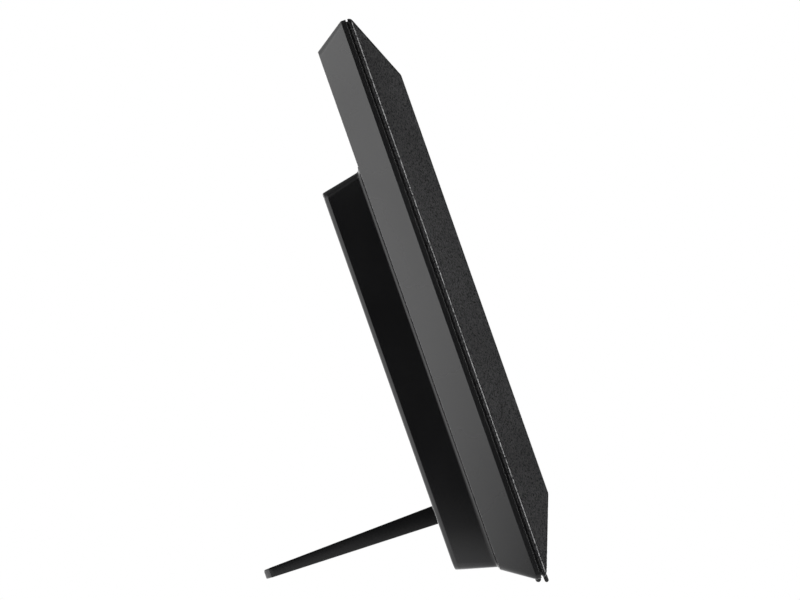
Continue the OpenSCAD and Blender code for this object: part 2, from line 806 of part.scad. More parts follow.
lead_r = 0.8;
lead_sides = 8;
lead_run = board_top + ribbon_socket_h + lead_r + play;
lead_pin_x = board_x0 + lead_socket_x;
lead_pin_z = board_z0 + 64;
lead_pin_y = board_top + 2;
lead_left = [
    [-29, lead_run, speaker_z - 6], [-24, lead_run, speaker_z - 9], [-14, lead_run, speaker_z - 10],
    [0, lead_run, speaker_z - 9], [12, lead_run, speaker_z - 9], [22, lead_run, speaker_z - 11],
    [32, lead_run, board_z1 + 2], [44, lead_run, board_z1 - 1], [lead_pin_x - 4, lead_run, board_z1 - 3],
    [lead_pin_x - 1.5, lead_run, board_z1 - 5], [lead_pin_x - 1.5, lead_pin_y + 0.8, lead_pin_z + 3],
    [lead_pin_x - 1.5, lead_pin_y, lead_pin_z + 1.6], [lead_pin_x - 1.5, lead_pin_y, lead_pin_z]
];
lead_right = [
    [47, lead_run, speaker_z - 6], [50, lead_run, speaker_z - 9], [56, lead_run, speaker_z - 14],
    [lead_pin_x + 2, lead_run, board_z1 - 1], [lead_pin_x + 1.5, lead_run, board_z1 - 5],
    [lead_pin_x + 1.5, lead_pin_y + 0.8, lead_pin_z + 3], [lead_pin_x + 1.5, lead_pin_y, lead_pin_z + 1.6],
    [lead_pin_x + 1.5, lead_pin_y, lead_pin_z]
];

function unit(v) = v / norm(v);
function along(path, i) = unit(path[min(i + 1, len(path) - 1)] - path[max(i - 1, 0)]);
function ring_at(path, i) =
    let (t = along(path, i), a = unit(cross(t, [0.3, 0.9, 0.2])), b = cross(t, a))
    [for (k = [0:lead_sides - 1]) path[i] + lead_r * (cos(360 * k / lead_sides) * a + sin(360 * k / lead_sides) * b)];

// A round lead swept along its route, with flat ends
module lead(path) {
    last = (len(path) - 1) * lead_sides;
    polyhedron(
        points = [for (i = [0:len(path) - 1]) each ring_at(path, i)],
        faces = [
            [for (k = [0:lead_sides - 1]) k],
            [for (k = [lead_sides - 1:-1:0]) last + k],
            for (i = [0:len(path) - 2], k = [0:lead_sides - 1])
                let (a = i * lead_sides + k, b = i * lead_sides + (k + 1) % lead_sides)
                [a, a + lead_sides, b + lead_sides, b]
        ]
    );
}

module speaker_leads() {
    color("#a01818") lead(lead_left);
    color("#a01818") lead(lead_right);
}

// ---- Cover --------------------------------------------------------------

// A round-ended slot, drawn as (x, z), w wide and h high
module slot_2d(x, z, w, h) {
    translate([x - w / 2 + h / 2, z - h / 2]) square([w - h, h]);
    for (side = [-1, 1]) translate([x + side * (w - h) / 2, z]) circle(r = h / 2);
}

module vents() {
    for (side = [-1, 1], i = [0:vent_count - 1])
        backwards(cover_in_y - eps, cover_y + eps)
            slot_2d(side * (recess_half + cover_half) / 2, vent_z + i * vent_pitch, vent_size[0], vent_size[1]);
}

module grilles() {
    for (side = [-1, 1], ring = [0:2], i = [0:max(0, 6 * ring - 1)])
        bar_y(grille_r, cover_in_y - eps, cover_y + eps,
            side * speaker_x + ring * grille_pitch * cos(i * 60 / max(ring, 1)),
            speaker_z + ring * grille_pitch * sin(i * 60 / max(ring, 1)));
}

module ports() {
    far = cover_half + eps;
    y = board_top;
    near = port_x - port_inside;
    bar_x(plug_r, near, far, y + jack_size[1] / 2, jack_z);
    usb_half = usb_size[2] / 2 + 0.6;
    switch_y = y + switch_size[1] / 2;
    switch_half = [knob_size[0] / 2 + play, switch_travel / 2 + knob_size[1] / 2 + play];
    block([near, y - 0.2, usb_z - usb_half], [far, y + usb_size[1] + 0.4, usb_z + usb_half]);
    block([near, y - 0.2, card_z - card_mouth - 0.7], [far, y + card_size[1] + 0.2, card_z + card_mouth + 0.7]);
    block([near, switch_y - switch_half[0], switch_z - switch_half[1]],
        [far, switch_y + switch_half[0], switch_z + switch_half[1]]);
}

module rear_cover() {
    outer = [for (y = [back_y, cover_y]) [cover_out(y), cover_out(y), cover_out(y, cover_top_draft)]];
    inner = [for (y = [back_y - eps, cover_in_y])
        [cover_inset(y), cover_inset(y), cover_inset(y, cover_top_draft)]];
    open_z = hanger_z - hanger_open_down;
    color("#1e1e1f") difference() {
        union() {
            difference() {
                tapered(cover_half, cover_z0, cover_z1, back_y, outer[0], cover_y, outer[1]);
                tapered(cover_half, cover_z0, cover_z1, back_y - eps, inner[0], cover_in_y, inner[1]);
            }
            block([-recess_half - cover_wall, recess_floor - cover_wall, recess_z0 - cover_wall],
                [recess_half + cover_wall, cover_in_y + eps, recess_z1 + cover_wall]);
            bar_y(scoop_r + cover_wall, cover_in_y - (scoop_depth - 1.4), cover_in_y + eps, 0, recess_z1);
            for (side = [-1, 1]) {
                x0 = side * (recess_half + cover_wall - eps);
                x1 = side * (recess_half + cover_wall + boss_reach);
                bar_x(hinge_boss_r, min(x0, x1), max(x0, x1), hinge_y - 0.4, hinge_z);
            }
            for (p = cover_screws_at)
                bar_y(head_r + 1.8, back_y + cover_boss, cover_in_y + eps, p[0], p[1]);
            for (side = [-1, 1], x = [-stud_x, stud_x]) {
                bar_y(stud_r, hanger_y - 0.3, cover_in_y + eps, side * hanger_x + x, hanger_z + stud_z);
                bar_y(stud_head_r, hanger_y - stud_head, hanger_y - fit, side * hanger_x + x, hanger_z + stud_z);
            }
        }
        block([-recess_half, recess_floor, recess_z0], [recess_half, cover_y + eps, recess_z1]);
        bar_y(scoop_r, cover_y - scoop_depth, cover_y + eps, 0, recess_z1);
        bar_x(pin_r + fit, -recess_half - cover_wall - boss_reach + 1, recess_half + cover_wall + boss_reach - 1,
            hinge_y, hinge_z);
        for (p = cover_screws_at) {
            bar_y(head_r + 0.5, back_y + cover_boss + well_floor, cover_y + eps, p[0], p[1]);
            bar_y(screw_r + slip, back_y + cover_boss - eps, cover_y, p[0], p[1]);
        }
        for (side = [-1, 1])
            block([side * hanger_x - hanger_open[0] / 2, cover_in_y - eps, open_z - hanger_open[1] / 2],
                [side * hanger_x + hanger_open[0] / 2, cover_y + eps, open_z + hanger_open[1] / 2]);
        vents();
        grilles();
        ports();
    }
}

module cover_screws() {
    color("#55585a") for (p = cover_screws_at)
        screw(p[0], p[1], back_y + cover_boss + well_floor, screw_r, cover_screw_len, head_r, screw_head);
}

keyhole_z = hanger_z - 5;

// Steel plate with a keyhole that hooks over a wall screw
module hanger_plates() {
    color("#a9acae") for (side = [-1, 1]) difference() {
        block([side * hanger_x - hanger_size[0] / 2, hanger_y, hanger_z - hanger_size[2] / 2],
            [side * hanger_x + hanger_size[0] / 2, hanger_y + hanger_size[1], hanger_z + hanger_size[2] / 2]);
        bar_y(keyhole_r, hanger_y - eps, cover_in_y, side * hanger_x, keyhole_z);
        bar_y(keyhole_slot_r, hanger_y - eps, cover_in_y, side * hanger_x, keyhole_z + keyhole_rise);
        block([side * hanger_x - keyhole_slot_r, hanger_y - eps, keyhole_z],
            [side * hanger_x + keyhole_slot_r, cover_in_y, keyhole_z + keyhole_rise]);
        for (x = [-stud_x, stud_x])
            bar_y(stud_r + fit, hanger_y - eps, cover_in_y, side * hanger_x + x, hanger_z + stud_z);
    }
}

// ---- Stand --------------------------------------------------------------

// The leg's tapering side view, drawn as (y, z) about the hinge
module leg_side() {
    root = leg_root / 2;
    tip = leg_tip / 2 / cos(taper_angle);
    translate([hinge_y, hinge_z]) {
        circle(r = root);
        polygon([
            [root * sin(taper_angle), -root * cos(taper_angle)], [leg_len, -tip],
            [leg_len, tip], [root * sin(taper_angle), root * cos(taper_angle)]
        ]);
    }
}

// The leg's plan, drawn as (x, y), narrower and round-cornered at the tip
module leg_plan() {
    y0 = hinge_y - leg_root;
    difference() {
        polygon([[-leg_w / 2, y0], [-leg_tip_w / 2, tip_y], [leg_tip_w / 2, tip_y], [leg_w / 2, y0]]);
        for (side = [-1, 1]) difference() {
            translate([side * leg_tip_w / 2, tip_y]) square(2 * leg_corner, center = true);
            translate([side * (leg_tip_w / 2 - leg_corner), tip_y - leg_corner]) circle(r = leg_corner);
        }
    }
}

module whole_leg() {
    intersection() {
        across(-leg_w / 2, leg_w / 2) leg_side();
        upwards(hinge_z - leg_root, hinge_z + leg_root) leg_plan();
    }
}

module tenon_block(grow) {
    block([-tenon[0] / 2 - grow, tip_y - pad_len - tenon[1] - grow, hinge_z - tenon[2] / 2 - grow],
        [tenon[0] / 2 + grow, tip_y - pad_len + eps, hinge_z + tenon[2] / 2 + grow]);
}

module stand_leg() {
    pocket_y = [hinge_y + pocket_root_gap, tip_y - pocket_tip_gap];
    mid = (pocket_y[0] + pocket_y[1]) / 2;
    color("#19191a") difference() {
        whole_leg();
        bar_x(pin_r + fit, -leg_w / 2 - eps, leg_w / 2 + eps, hinge_y, hinge_z);
        block([-leg_w, tip_y - pad_len, 0], [leg_w, tip_y + eps, body_h]);
        tenon_block(fit);
        for (y = [[pocket_y[0], mid - leg_rib], [mid + leg_rib, pocket_y[1]]],
            x = [[-pocket_half, -leg_rib], [leg_rib, pocket_half]])
            block([x[0], y[0], hinge_z + pocket_floor], [x[1], y[1], hinge_z + leg_root]);
    }
}

module stand_pad() {
    color("#0f0f10") {
        intersection() {
            whole_leg();
            block([-leg_w, tip_y - pad_len, 0], [leg_w, tip_y + eps, body_h]);
        }
        tenon_block(0);
    }
}

module hinge_pin() {
    reach = recess_half + cover_wall + boss_reach - 1.1;
    color("#c4c6c8") bar_x(pin_r, -reach, reach, hinge_y, hinge_z);
}

module hinge_washers() {
    color("#d0d2d4") for (side = [-1, 1]) {
        x0 = side * (leg_w / 2 + 0.1);
        x1 = side * (leg_w / 2 + 0.1 + washer_depth);
        difference() {
            bar_x(washer_r, min(x0, x1), max(x0, x1), hinge_y, hinge_z);
            bar_x(pin_r + fit, min(x0, x1) - eps, max(x0, x1) + eps, hinge_y, hinge_z);
        }
    }
}

// ---- Feet ---------------------------------------------------------------

// Round-bottomed rubber strip with a tenon in the shell's bottom edge
module foot_strips(y, z, r, tenon_y) {
    for (side = [-1, 1])
        across(side * foot_x - foot_len / 2, side * foot_x + foot_len / 2) {
            difference() {
                union() {
                    translate([y, z]) circle(r = r);
                    translate([y - r, z]) square([2 * r, max(-z, eps)]);
                }
                translate([y - 2 * r, 0]) square([4 * r, 2 * r]);
            }
            translate([tenon_y - foot_tenon[0] / 2, -eps]) square([foot_tenon[0], foot_tenon[1] + eps]);
        }
}

module rear_feet() color("#0c0c0c") foot_strips(rear_foot_y, rear_foot_z, rear_foot_r, rear_foot_y - 0.3);

module front_feet() color("#141414") foot_strips(front_foot_y, front_foot_z, front_foot_r, front_foot_y);

// ---- The object ---------------------------------------------------------

stood_up() {
    front_bezel();
    screen_window();
    window_gasket();
    lcd_glass();
    lcd_metal_frame();
    diffuser_sheets();
    light_guide();
    led_strip();
    backlight_tray();
    support_plate();
    support_screws();
    ir_lens();
    ir_board();
    ir_receiver();
    ir_screw();
    rear_shell();
    case_screws();
    main_board();
    board_screws();
    processor();
    memory_chips();
    capacitors();
    cell_holder();
    coin_cell();
    ribbon_sockets();
    card_socket();
    usb_socket();
    dc_jack();
    power_switch();
    power_knob();
    lead_socket();
    speaker_baskets();
    speaker_cones();
    speaker_gaskets();
    speaker_leads();
    lcd_ribbon();
    button_ribbon();
    button_board();
    button_board_screws();
    tact_switches();
    push_button(0);  // power_button
    push_button(1);  // menu_button
    push_button(2);  // left_button
    push_button(3);  // up_button
    push_button(4);  // down_button
    push_button(5);  // right_button
    push_button(6);  // enter_button
    rear_cover();
    cover_screws();
    hanger_plates();
    stand_leg();
    stand_pad();
    hinge_pin();
    hinge_washers();
    rear_feet();
    front_feet();
}
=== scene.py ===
"""A table-top digital photo frame that leans back on the leg in its rear cover."""
import json
import math

import bmesh
import bpy
import numpy as np
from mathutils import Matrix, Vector, geometry


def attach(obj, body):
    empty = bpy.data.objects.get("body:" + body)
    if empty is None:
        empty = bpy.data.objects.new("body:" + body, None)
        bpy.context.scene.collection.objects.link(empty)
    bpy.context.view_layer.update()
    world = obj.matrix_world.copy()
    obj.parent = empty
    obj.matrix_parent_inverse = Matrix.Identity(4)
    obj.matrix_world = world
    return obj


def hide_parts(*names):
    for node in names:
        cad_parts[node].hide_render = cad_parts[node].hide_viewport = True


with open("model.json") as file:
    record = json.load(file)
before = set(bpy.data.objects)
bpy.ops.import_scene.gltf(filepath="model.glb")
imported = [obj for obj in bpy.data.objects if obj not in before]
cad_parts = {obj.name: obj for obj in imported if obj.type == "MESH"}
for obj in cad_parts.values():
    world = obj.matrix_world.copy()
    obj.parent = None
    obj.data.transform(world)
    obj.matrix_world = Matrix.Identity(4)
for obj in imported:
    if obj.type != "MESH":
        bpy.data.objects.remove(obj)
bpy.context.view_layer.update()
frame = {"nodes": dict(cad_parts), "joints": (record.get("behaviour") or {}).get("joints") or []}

# ---- The lean ------------------------------------------------------------------------------------
# The frame stands on four rubber strips and the tip of its leg, so all of it leans back by one angle.
# Pieces are worked out upright, in millimetres: x to the right from the front, y to the back from the
# gap between the shells, z up from the shells' bottom edge. stand() leans them back into their place.

MM = 0.001
reveal_gap = 0.56
rear_depth = 11.0
rear_back = reveal_gap / 2 + rear_depth

joints = {joint["name"]: joint for joint in frame["joints"]}
up = np.array(joints["power_knob_slide"]["axis"], float)
right = np.array([1.0, 0.0, 0.0])
turn = np.stack([right, np.cross(up, right), up])


def turned_points(node):
    """The points of a CAD node in millimetres, turned upright and not yet moved."""
    mesh = frame["nodes"][node].data
    flat = np.empty(len(mesh.vertices) * 3)
    mesh.vertices.foreach_get("co", flat)
    return flat.reshape(-1, 3) / MM @ turn.T


shell_points = turned_points("rear_shell")
seat = np.array([0.0, turned_points("rear_cover")[:, 1].min() - rear_back, shell_points[:, 2].min()])
half_w = shell_points[:, 0].max()
body_h = np.ptp(shell_points[:, 2])


def upright_box(node):
    """Lowest and highest corner of a CAD node in the upright frame."""
    points = turned_points(node) - seat
    return points.min(0), points.max(0)


def stand(points):
    """Upright millimetres to the leaning frame's metres."""
    return (points + seat) @ turn * MM


# ---- Front bezel ---------------------------------------------------------------------------------
# Injection-moulded charcoal plastic with a fine spark-eroded texture: four wide bevels rise from a
# thin upright edge to a ridge round the screen, and a splayed step drops from the ridge to the window.
# Four screws from the rear shell hold it.

bevel_side, bevel_top, bevel_bottom = 21.0, 21.0, 23.0
lip_depth, lip_draft = 1.1, 0.2
ridge_flat = 1.2
step_splay = 3.15
front_wall = 2.2


def soften(corners, radii, steps=5, reach=1.4):
    """Rounds a closed outline. Near a corner c it becomes (1-t)^2 a + 2t(1-t) c + t^2 b, where a and b
    lie `radius` from c along its two edges. One more point past a and past b keeps the faces beyond
    flat. The last column added is 1 on a rounded corner and 0 elsewhere."""
    c, r = np.asarray(corners, float), np.asarray(radii, float)[:, None]
    before, after = np.roll(c, 1, 0) - c, np.roll(c, -1, 0) - c
    before /= np.hypot(before[:, :1], before[:, -1:])
    after /= np.hypot(after[:, :1], after[:, -1:])
    t = np.linspace(0, 1, steps + 1)[None, :, None]
    a, b = (c + before * r)[:, None], (c + after * r)[:, None]
    curve = (1 - t) ** 2 * a + 2 * t * (1 - t) * c[:, None] + t ** 2 * b
    line = np.concatenate([(c + before * r * reach)[:, None], curve, (c + after * r * reach)[:, None]], 1)
    wear = np.zeros(line.shape[:2] + (1,))
    wear[:, 1:-1] = (r > 0)[:, None]
    return np.concatenate([line, wear], 2).reshape(-1, c.shape[1] + 1)


def carry(outline, half, z0, z1, corner, arc=7, run=10):
    """Carries an outline round a rectangle. A row of the outline is (inset from the sides, from the
    bottom, from the top, depth y, wear), and its loop is the rectangle inset by that much, with corners
    of radius `corner`. A loop is four quarters, each an arc and then a straight run."""
    side, low, high, y, wear = np.asarray(outline, float).T
    c = np.broadcast_to(np.asarray(corner, float), side.shape)
    w, lo, hi = half - side, z0 + low, z1 - high
    centre_x = np.stack([w - c, w - c, c - w, c - w], 1)[:, :, None]
    centre_z = np.stack([lo + c, hi - c, hi - c, lo + c], 1)[:, :, None]
    angle = np.radians([-90, 0, 90, 180])[:, None] + np.linspace(0, math.pi / 2, arc + 1)
    radius = c[:, None, None]
    bend = np.stack([centre_x + radius * np.cos(angle), centre_z + radius * np.sin(angle)])
    t = np.linspace(0, 1, run + 1)[1:-1]
    end, start = bend[..., -1:], np.roll(bend[..., :1], -1, 2)
    loop = np.concatenate([bend, end + (start - end) * t], 3)
    on_arc = np.zeros(loop.shape[3])
    on_arc[1:arc] = 1
    worn = np.maximum(wear[:, None, None], on_arc * (radius > 0))
    rows = len(side)
    x, z = loop.reshape(2, rows, -1)
    points = np.stack([x, np.broadcast_to(y[:, None], x.shape), z], -1)
    return points, np.broadcast_to(worn, (rows, 4, loop.shape[3])).reshape(rows, -1)


def grid(points, wear=None, wrap=True, skip=()):
    """Four-sided faces between the neighbours of a grid of points. wrap joins the last column to the
    first, and each (row, row, column, column) in skip leaves that block of cells open."""
    rows, cols = points.shape[:2]
    index = np.arange(rows * cols).reshape(rows, cols)
    if wrap:
        index = np.concatenate([index, index[:, :1]], 1)
    cells = np.stack([index[:-1, :-1], index[:-1, 1:], index[1:, 1:], index[1:, :-1]], -1)
    keep = np.ones(cells.shape[:2], bool)
    for r0, r1, c0, c1 in skip:
        keep[r0:r1, c0:c1] = False
    worn = np.zeros(rows * cols) if wear is None else np.asarray(wear, float).ravel()
    return points.reshape(-1, 3), worn, cells[keep]


def put(name, data):
    """A new object in the scene, at the origin."""
    thing = bpy.data.objects.new(name, data)
    bpy.context.scene.collection.objects.link(thing)
    return thing


def build(name, patches, body, material, stands_for=()):
    """One mesh from patches of (points, wear, faces) that share their borders, leaned into its place.
    Points closer than 2 micrometres become one, and the faces are turned outwards. Edges sharper than
    38 degrees stay crisp."""
    starts = np.cumsum([0] + [len(points) for points, _, _ in patches])
    points = np.concatenate([points for points, _, _ in patches])
    faces = [face for start, patch in zip(starts, patches) for face in (patch[2] + start).tolist()]
    mesh = bpy.data.meshes.new(name)
    mesh.from_pydata(stand(points).tolist(), [], faces)
    worn = mesh.attributes.new("wear", "FLOAT", "POINT")
    worn.data.foreach_set("value", np.concatenate([wear for _, wear, _ in patches]))
    shape = bmesh.new()
    shape.from_mesh(mesh)
    bmesh.ops.remove_doubles(shape, verts=shape.verts, dist=2e-6)
    bmesh.ops.dissolve_degenerate(shape, dist=1e-6, edges=shape.edges)
    bmesh.ops.recalc_face_normals(shape, faces=shape.faces)
    shape.to_mesh(mesh)
    shape.free()
    mesh.shade_smooth()
    mesh.set_sharp_from_angle(angle=math.radians(38))
    mesh.materials.append(material)
    piece = put(name, mesh)
    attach(piece, body)
    if stands_for:
        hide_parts(*stands_for)


def feed(tree, node, inputs):
    """Fixes or links a node's inputs."""
    for key, value in inputs.items():
        if isinstance(value, bpy.types.NodeSocket):
            tree.links.new(value, node.inputs[key])
        else:
            node.inputs[key].default_value = value


def add(tree, kind, inputs=None, **settings):
    """A shader node with its settings and inputs."""
    node = tree.nodes.new("ShaderNode" + kind)
    for key, value in settings.items():
        setattr(node, key, value)
    feed(tree, node, inputs or {})
    return node


def maths(tree, operation, a, b=0.0, clamp=False):
    """The result of one sum."""
    return add(tree, "Math", {0: a, 1: b}, operation=operation, use_clamp=clamp).outputs[0]


def times(tree, a, b, clamp=False):
    """The product of two values."""
    return maths(tree, "MULTIPLY", a, b, clamp)


def remap(tree, value, low, high, to_low=0.0, to_high=1.0):
    """A value taken from one range to another, and held inside it."""
    sockets = {"Value": value, "From Min": low, "From Max": high, "To Min": to_low, "To Max": to_high}
    return add(tree, "MapRange", sockets).outputs["Result"]


def noise(tree, scale, detail, **inputs):
    """The value of a noise texture that is fixed to the piece."""
    inputs.update(Vector=add(tree, "TexCoord").outputs["Object"], Scale=scale, Detail=detail)
    return add(tree, "TexNoise", inputs).outputs["Fac"]


def bump(tree, height, distance):
    """A normal tilted by a height, which is that many millimetres at 1."""
    return add(tree, "Bump", {"Height": height, "Distance": distance * MM}).outputs["Normal"]


def new_group(name, inputs, outputs):
    """A shader node group with named number inputs and outputs."""
    group = bpy.data.node_groups.new(name, "ShaderNodeTree")
    for key, value in inputs.items():
        group.interface.new_socket(key, in_out="INPUT", socket_type="NodeSocketFloat").default_value = value
    for key in outputs:
        group.interface.new_socket(key, in_out="OUTPUT", socket_type="NodeSocketFloat")
    source, sink = group.nodes.new("NodeGroupInput"), group.nodes.new("NodeGroupOutput")
    return group, source.outputs, sink.inputs


def moulded_group():
    """Moulded texture: fine noise over finer noise as height, and a broad slow noise as tone."""
    sizes = {"Scale": 2400.0, "Patches": 40.0}
    group, given, result = new_group("moulded_surface", sizes, ("Height", "Tone"))
    group.links.new(noise(group, given["Scale"], 3.0, Roughness=0.65), result["Height"])
    group.links.new(remap(group, noise(group, given["Patches"], 4.0), 0.3, 0.7), result["Tone"])
    return group


def wear_group():
    """Worn edges: the piece's own wear attribute, broken up by noise. On the bezel this mask places a painted
    highlight.
    """
    group, given, result = new_group("edge_wear", {"Amount": 0.5}, ("Mask", "Edge"))
    worn = add(group, "Attribute", attribute_name="wear").outputs["Fac"]
    broken = times(group, worn, remap(group, noise(group, 260.0, 5.0, Roughness=0.6), 0.35, 0.75))
    group.links.new(times(group, broken, given["Amount"], clamp=True), result["Mask"])
    group.links.new(worn, result["Edge"])
    return group


def dust_group():
    """Settled dust: how far the surface faces up, broken up by noise of two sizes."""
    group, given, result = new_group("settled_dust", {"Amount": 0.3}, ("Mask",))
    facing = add(group, "NewGeometry").outputs["Normal"]
    height = add(group, "SeparateXYZ", {"Vector": facing}).outputs["Z"]
    drifts = remap(group, noise(group, 60.0, 4.0), 0.3, 0.7)
    specks = remap(group, noise(group, 1500.0, 2.0), 0.4, 0.65)
    speckled = times(group, times(group, remap(group, height, 0.25, 1.0), drifts), specks)
    group.links.new(times(group, speckled, given["Amount"], clamp=True), result["Mask"])
    return group


moulded, edge_wear, settled_dust = moulded_group(), wear_group(), dust_group()


def use_group(tree, group, **values):
    """A shared group placed in a material with its own values."""
    node = add(tree, "Group")
    node.node_tree = group
    for key, value in values.items():
        node.inputs[key].default_value = value
    return node.outputs


def mix(tree, share, a, b):
    """Colour a turned to colour b by a share that varies over the surface."""
    ends = [end if isinstance(end, bpy.types.NodeSocket) else (*end, 1.0) for end in (a, b)]
    return add(tree, "Mix", {"Factor": share, 6: ends[0], 7: ends[1]}, data_type="RGBA").outputs[2]


def scaled(colour, share, lift=0.0):
    """A colour made darker or paler, and held below 1."""
    return tuple(min(1.0, c * share + lift) for c in colour)


def start_material(name):
    """A new material: its node tree and its Principled shader."""
    material = bpy.data.materials.new(name)
    material.use_nodes = True
    return material, material.node_tree, material.node_tree.nodes["Principled BSDF"]


def plastic(name, colour, rough, scale=2400.0, depth=0.02, vary=0.06, tone=0.12, worn=0.4, dust=0.12,
            wear_and_highlight_colour=None, specular=0.5, polish=0.35, speckle=0.0):
    """A moulded plastic or rubber: grain in the normal, slow changes of tone and gloss, paler polished
    edges, and a little settled dust. The paler edges are wear on most pieces, and on the bezel a painted
    highlight along its rounded edges. depth is the height of the grain in millimetres, polish the share
    of the roughness that an edge loses, and speckle how far the grain varies the shine."""
    material, tree, shader = start_material(name)
    grain = use_group(tree, moulded, Scale=scale)
    worn_and_highlit_edge = use_group(tree, edge_wear, Amount=worn)
    dirt = use_group(tree, settled_dust, Amount=dust)["Mask"]
    toned = mix(tree, grain["Tone"], scaled(colour, 1 - tone), scaled(colour, 1 + tone))
    # Edges made paler by the wear mask: real wear on most pieces, a painted highlight on the bezel.
    paler = mix(tree, worn_and_highlit_edge["Mask"], toned, wear_and_highlight_colour or scaled(colour, 1.8, 0.01))
    gloss = remap(tree, grain["Tone"], 0.0, 1.0, rough - vary, rough + vary)
    gloss = maths(tree, "SUBTRACT", gloss, times(tree, worn_and_highlit_edge["Edge"], rough * polish))
    feed(tree, shader, {
        "Base Color": mix(tree, dirt, paler, (0.33, 0.31, 0.28)),
        "Roughness": maths(tree, "ADD", gloss, times(tree, dirt, 0.4), clamp=True),
        "Normal": bump(tree, grain["Height"], depth),
        "Specular IOR Level": specular,
    })
    if speckle:
        shine = remap(tree, grain["Height"], 0.38, 0.62, specular * (1 - speckle), specular * (1 + speckle))
        feed(tree, shader, {"Specular IOR Level": shine})
    return material


# The bezel's edge colour, far paler than its plastic, is a painted highlight along the rounded lip and ridge
# edges; the lower roughness there is polish.
bezel_plastic = plastic("bezel_plastic", (0.008, 0.008, 0.009), 0.46, scale=1700.0, depth=0.075, worn=0.6,
                        wear_and_highlight_colour=(0.06, 0.06, 0.063), specular=0.38, polish=0.8, speckle=0.95)
window_lo, window_hi = upright_box("screen_window")
lip_back = -reveal_gap / 2
lip_front = lip_back - lip_depth
ridge_y = upright_box("front_bezel")[0][1]
window_y = window_lo[1]


def bezel_inside(border, y):
    """Inset of the bezel's inner face at depth y, one wall behind its bevel."""
    slope = border / (ridge_y - lip_front)
    return (y - lip_front) * slope + front_wall * math.hypot(1, slope)


def even(inset, y):
    """A row of an outline with one inset on all sides, at depth y."""
    return inset, inset, inset, y


bevels = np.array([bevel_side, bevel_bottom, bevel_top])
inside_back = [bezel_inside(b, lip_back) for b in bevels]
inside_front = [bezel_inside(b, window_y) for b in bevels]
bezel_corners = [
    even(0, lip_back),
    even(lip_draft, lip_front),
    (*bevels, ridge_y),
    (*(bevels + ridge_flat), ridge_y),
    (*(bevels + step_splay), window_y),
    (*inside_front, window_y),
    (*inside_back, lip_back),
]
bezel_outline = soften(bezel_corners, [0.14, 0.75, 0.42, 0.3, 0.1, 0, 0])
bezel_outline = np.concatenate([bezel_outline, bezel_outline[:1]])
bezel_corner = np.interp(bezel_outline[:, 0], [0, bevel_side, bevel_side + step_splay], [1.3, 0.9, 0.5])
bezel = grid(*carry(bezel_outline, half_w, 0, body_h, bezel_corner))
build("front_bezel_shell", [bezel], "case", bezel_plastic, ["front_bezel"])


# ---- Window and display --------------------------------------------------------------------------
# A clear acrylic window lies against the back of the bezel's step, on a strip of black foam. Behind it
# the display is switched off: a dark, faintly blue anti-glare glass in a folded steel frame, with its
# sheets, light guide and tray, screwed to the bezel by a steel plate.

window_round, window_edge = 2.0, 0.25
display_round, display_edge = 0.6, 0.12


def slab(lo, hi, corner, edge):
    """A closed plate between two corners: a rectangle carried from back to front, with corners of
    radius `corner` and edges rounded by `edge`, closed by a flat panel on each side."""
    middle, half = (lo[0] + hi[0]) / 2, (hi[0] - lo[0]) / 2
    bend = np.linspace(0, math.pi / 2, 4)
    inset = np.concatenate([edge * (1 - np.sin(bend)), edge * (1 - np.cos(bend))])
    depth = np.concatenate([lo[1] + edge * (1 - np.cos(bend)), hi[1] - edge * (1 - np.sin(bend))])
    rows = np.stack([inset, inset, inset, depth, np.ones(8)], 1)
    points, wear = carry(rows, half, lo[2], hi[2], corner - inset * 0.5, arc=5, run=4)
    points = points + [middle, 0, 0]
    return [grid(points, wear), panel(points[0]), panel(points[-1])]


def panel(border, holes=(), axes=(0, 2)):
    """Flat triangles that fill a border and leave its holes open. The border and the holes are loops
    of points in one plane, and axes are the two coordinates that the plane is seen along. A triangle
    is kept where a line from its middle crosses the loops an odd number of times."""
    loops = [np.asarray(border), *holes]
    points = np.concatenate(loops)
    starts = np.cumsum([0] + [len(loop) for loop in loops])
    rings = [np.arange(start, start + len(loop)) for loop, start in zip(loops, starts)]
    edges = np.concatenate([np.stack([ring, np.roll(ring, -1)], 1) for ring in rings])
    flat = points[:, axes]
    found = geometry.delaunay_2d_cdt([Vector(p) for p in flat.tolist()], edges.tolist(), [], 0, 1e-6)
    first = np.array([ids[0] for ids in found[3]])
    faces = first[np.array(found[2])]
    middle = flat[faces].mean(1)[:, None]
    a, b = flat[edges[:, 0]][None], flat[edges[:, 1]][None]
    rise = np.where(np.abs(b[..., 1] - a[..., 1]) < 1e-12, 1e-12, b[..., 1] - a[..., 1])
    spans = (a[..., 1] > middle[..., 1]) != (b[..., 1] > middle[..., 1])
    beyond = middle[..., 0] < a[..., 0] + (b[..., 0] - a[..., 0]) * (middle[..., 1] - a[..., 1]) / rise
    inside = (spans & beyond).sum(1) % 2 == 1
    return points, np.zeros(len(points)), faces[inside]


def smudge_group():
    """Finger marks and wiped dust on a polished surface: broad noise over fine noise, as a mask."""
    group, given, result = new_group("smudges", {"Scale": 30.0, "Amount": 0.5}, ("Mask",))
    broad = remap(group, noise(group, given["Scale"], 3.0, Distortion=0.6), 0.45, 0.75)
    marks = times(group, broad, remap(group, noise(group, 900.0, 2.0), 0.3, 0.7, 0.4, 1.0))
    group.links.new(times(group, marks, given["Amount"], clamp=True), result["Mask"])
    return group


smudges = smudge_group()


def glass(name, colour, rough, clear=0.0, marks=0.5):
    """Polished plastic or glass with faint finger marks in its gloss and a slow ripple in its face."""
    material, tree, shader = start_material(name)
    mask = use_group(tree, smudges, Amount=marks)["Mask"]
    ripple = use_group(tree, moulded, Scale=120.0, Patches=18.0)
    feed(tree, shader, {
        "Base Color": mix(tree, mask, colour, scaled(colour, 1.0, 0.02)),
        "Roughness": maths(tree, "ADD", times(tree, mask, 0.12), rough),
        "Normal": bump(tree, ripple["Height"], 0.004),
        "Transmission Weight": clear,
    })
    return material


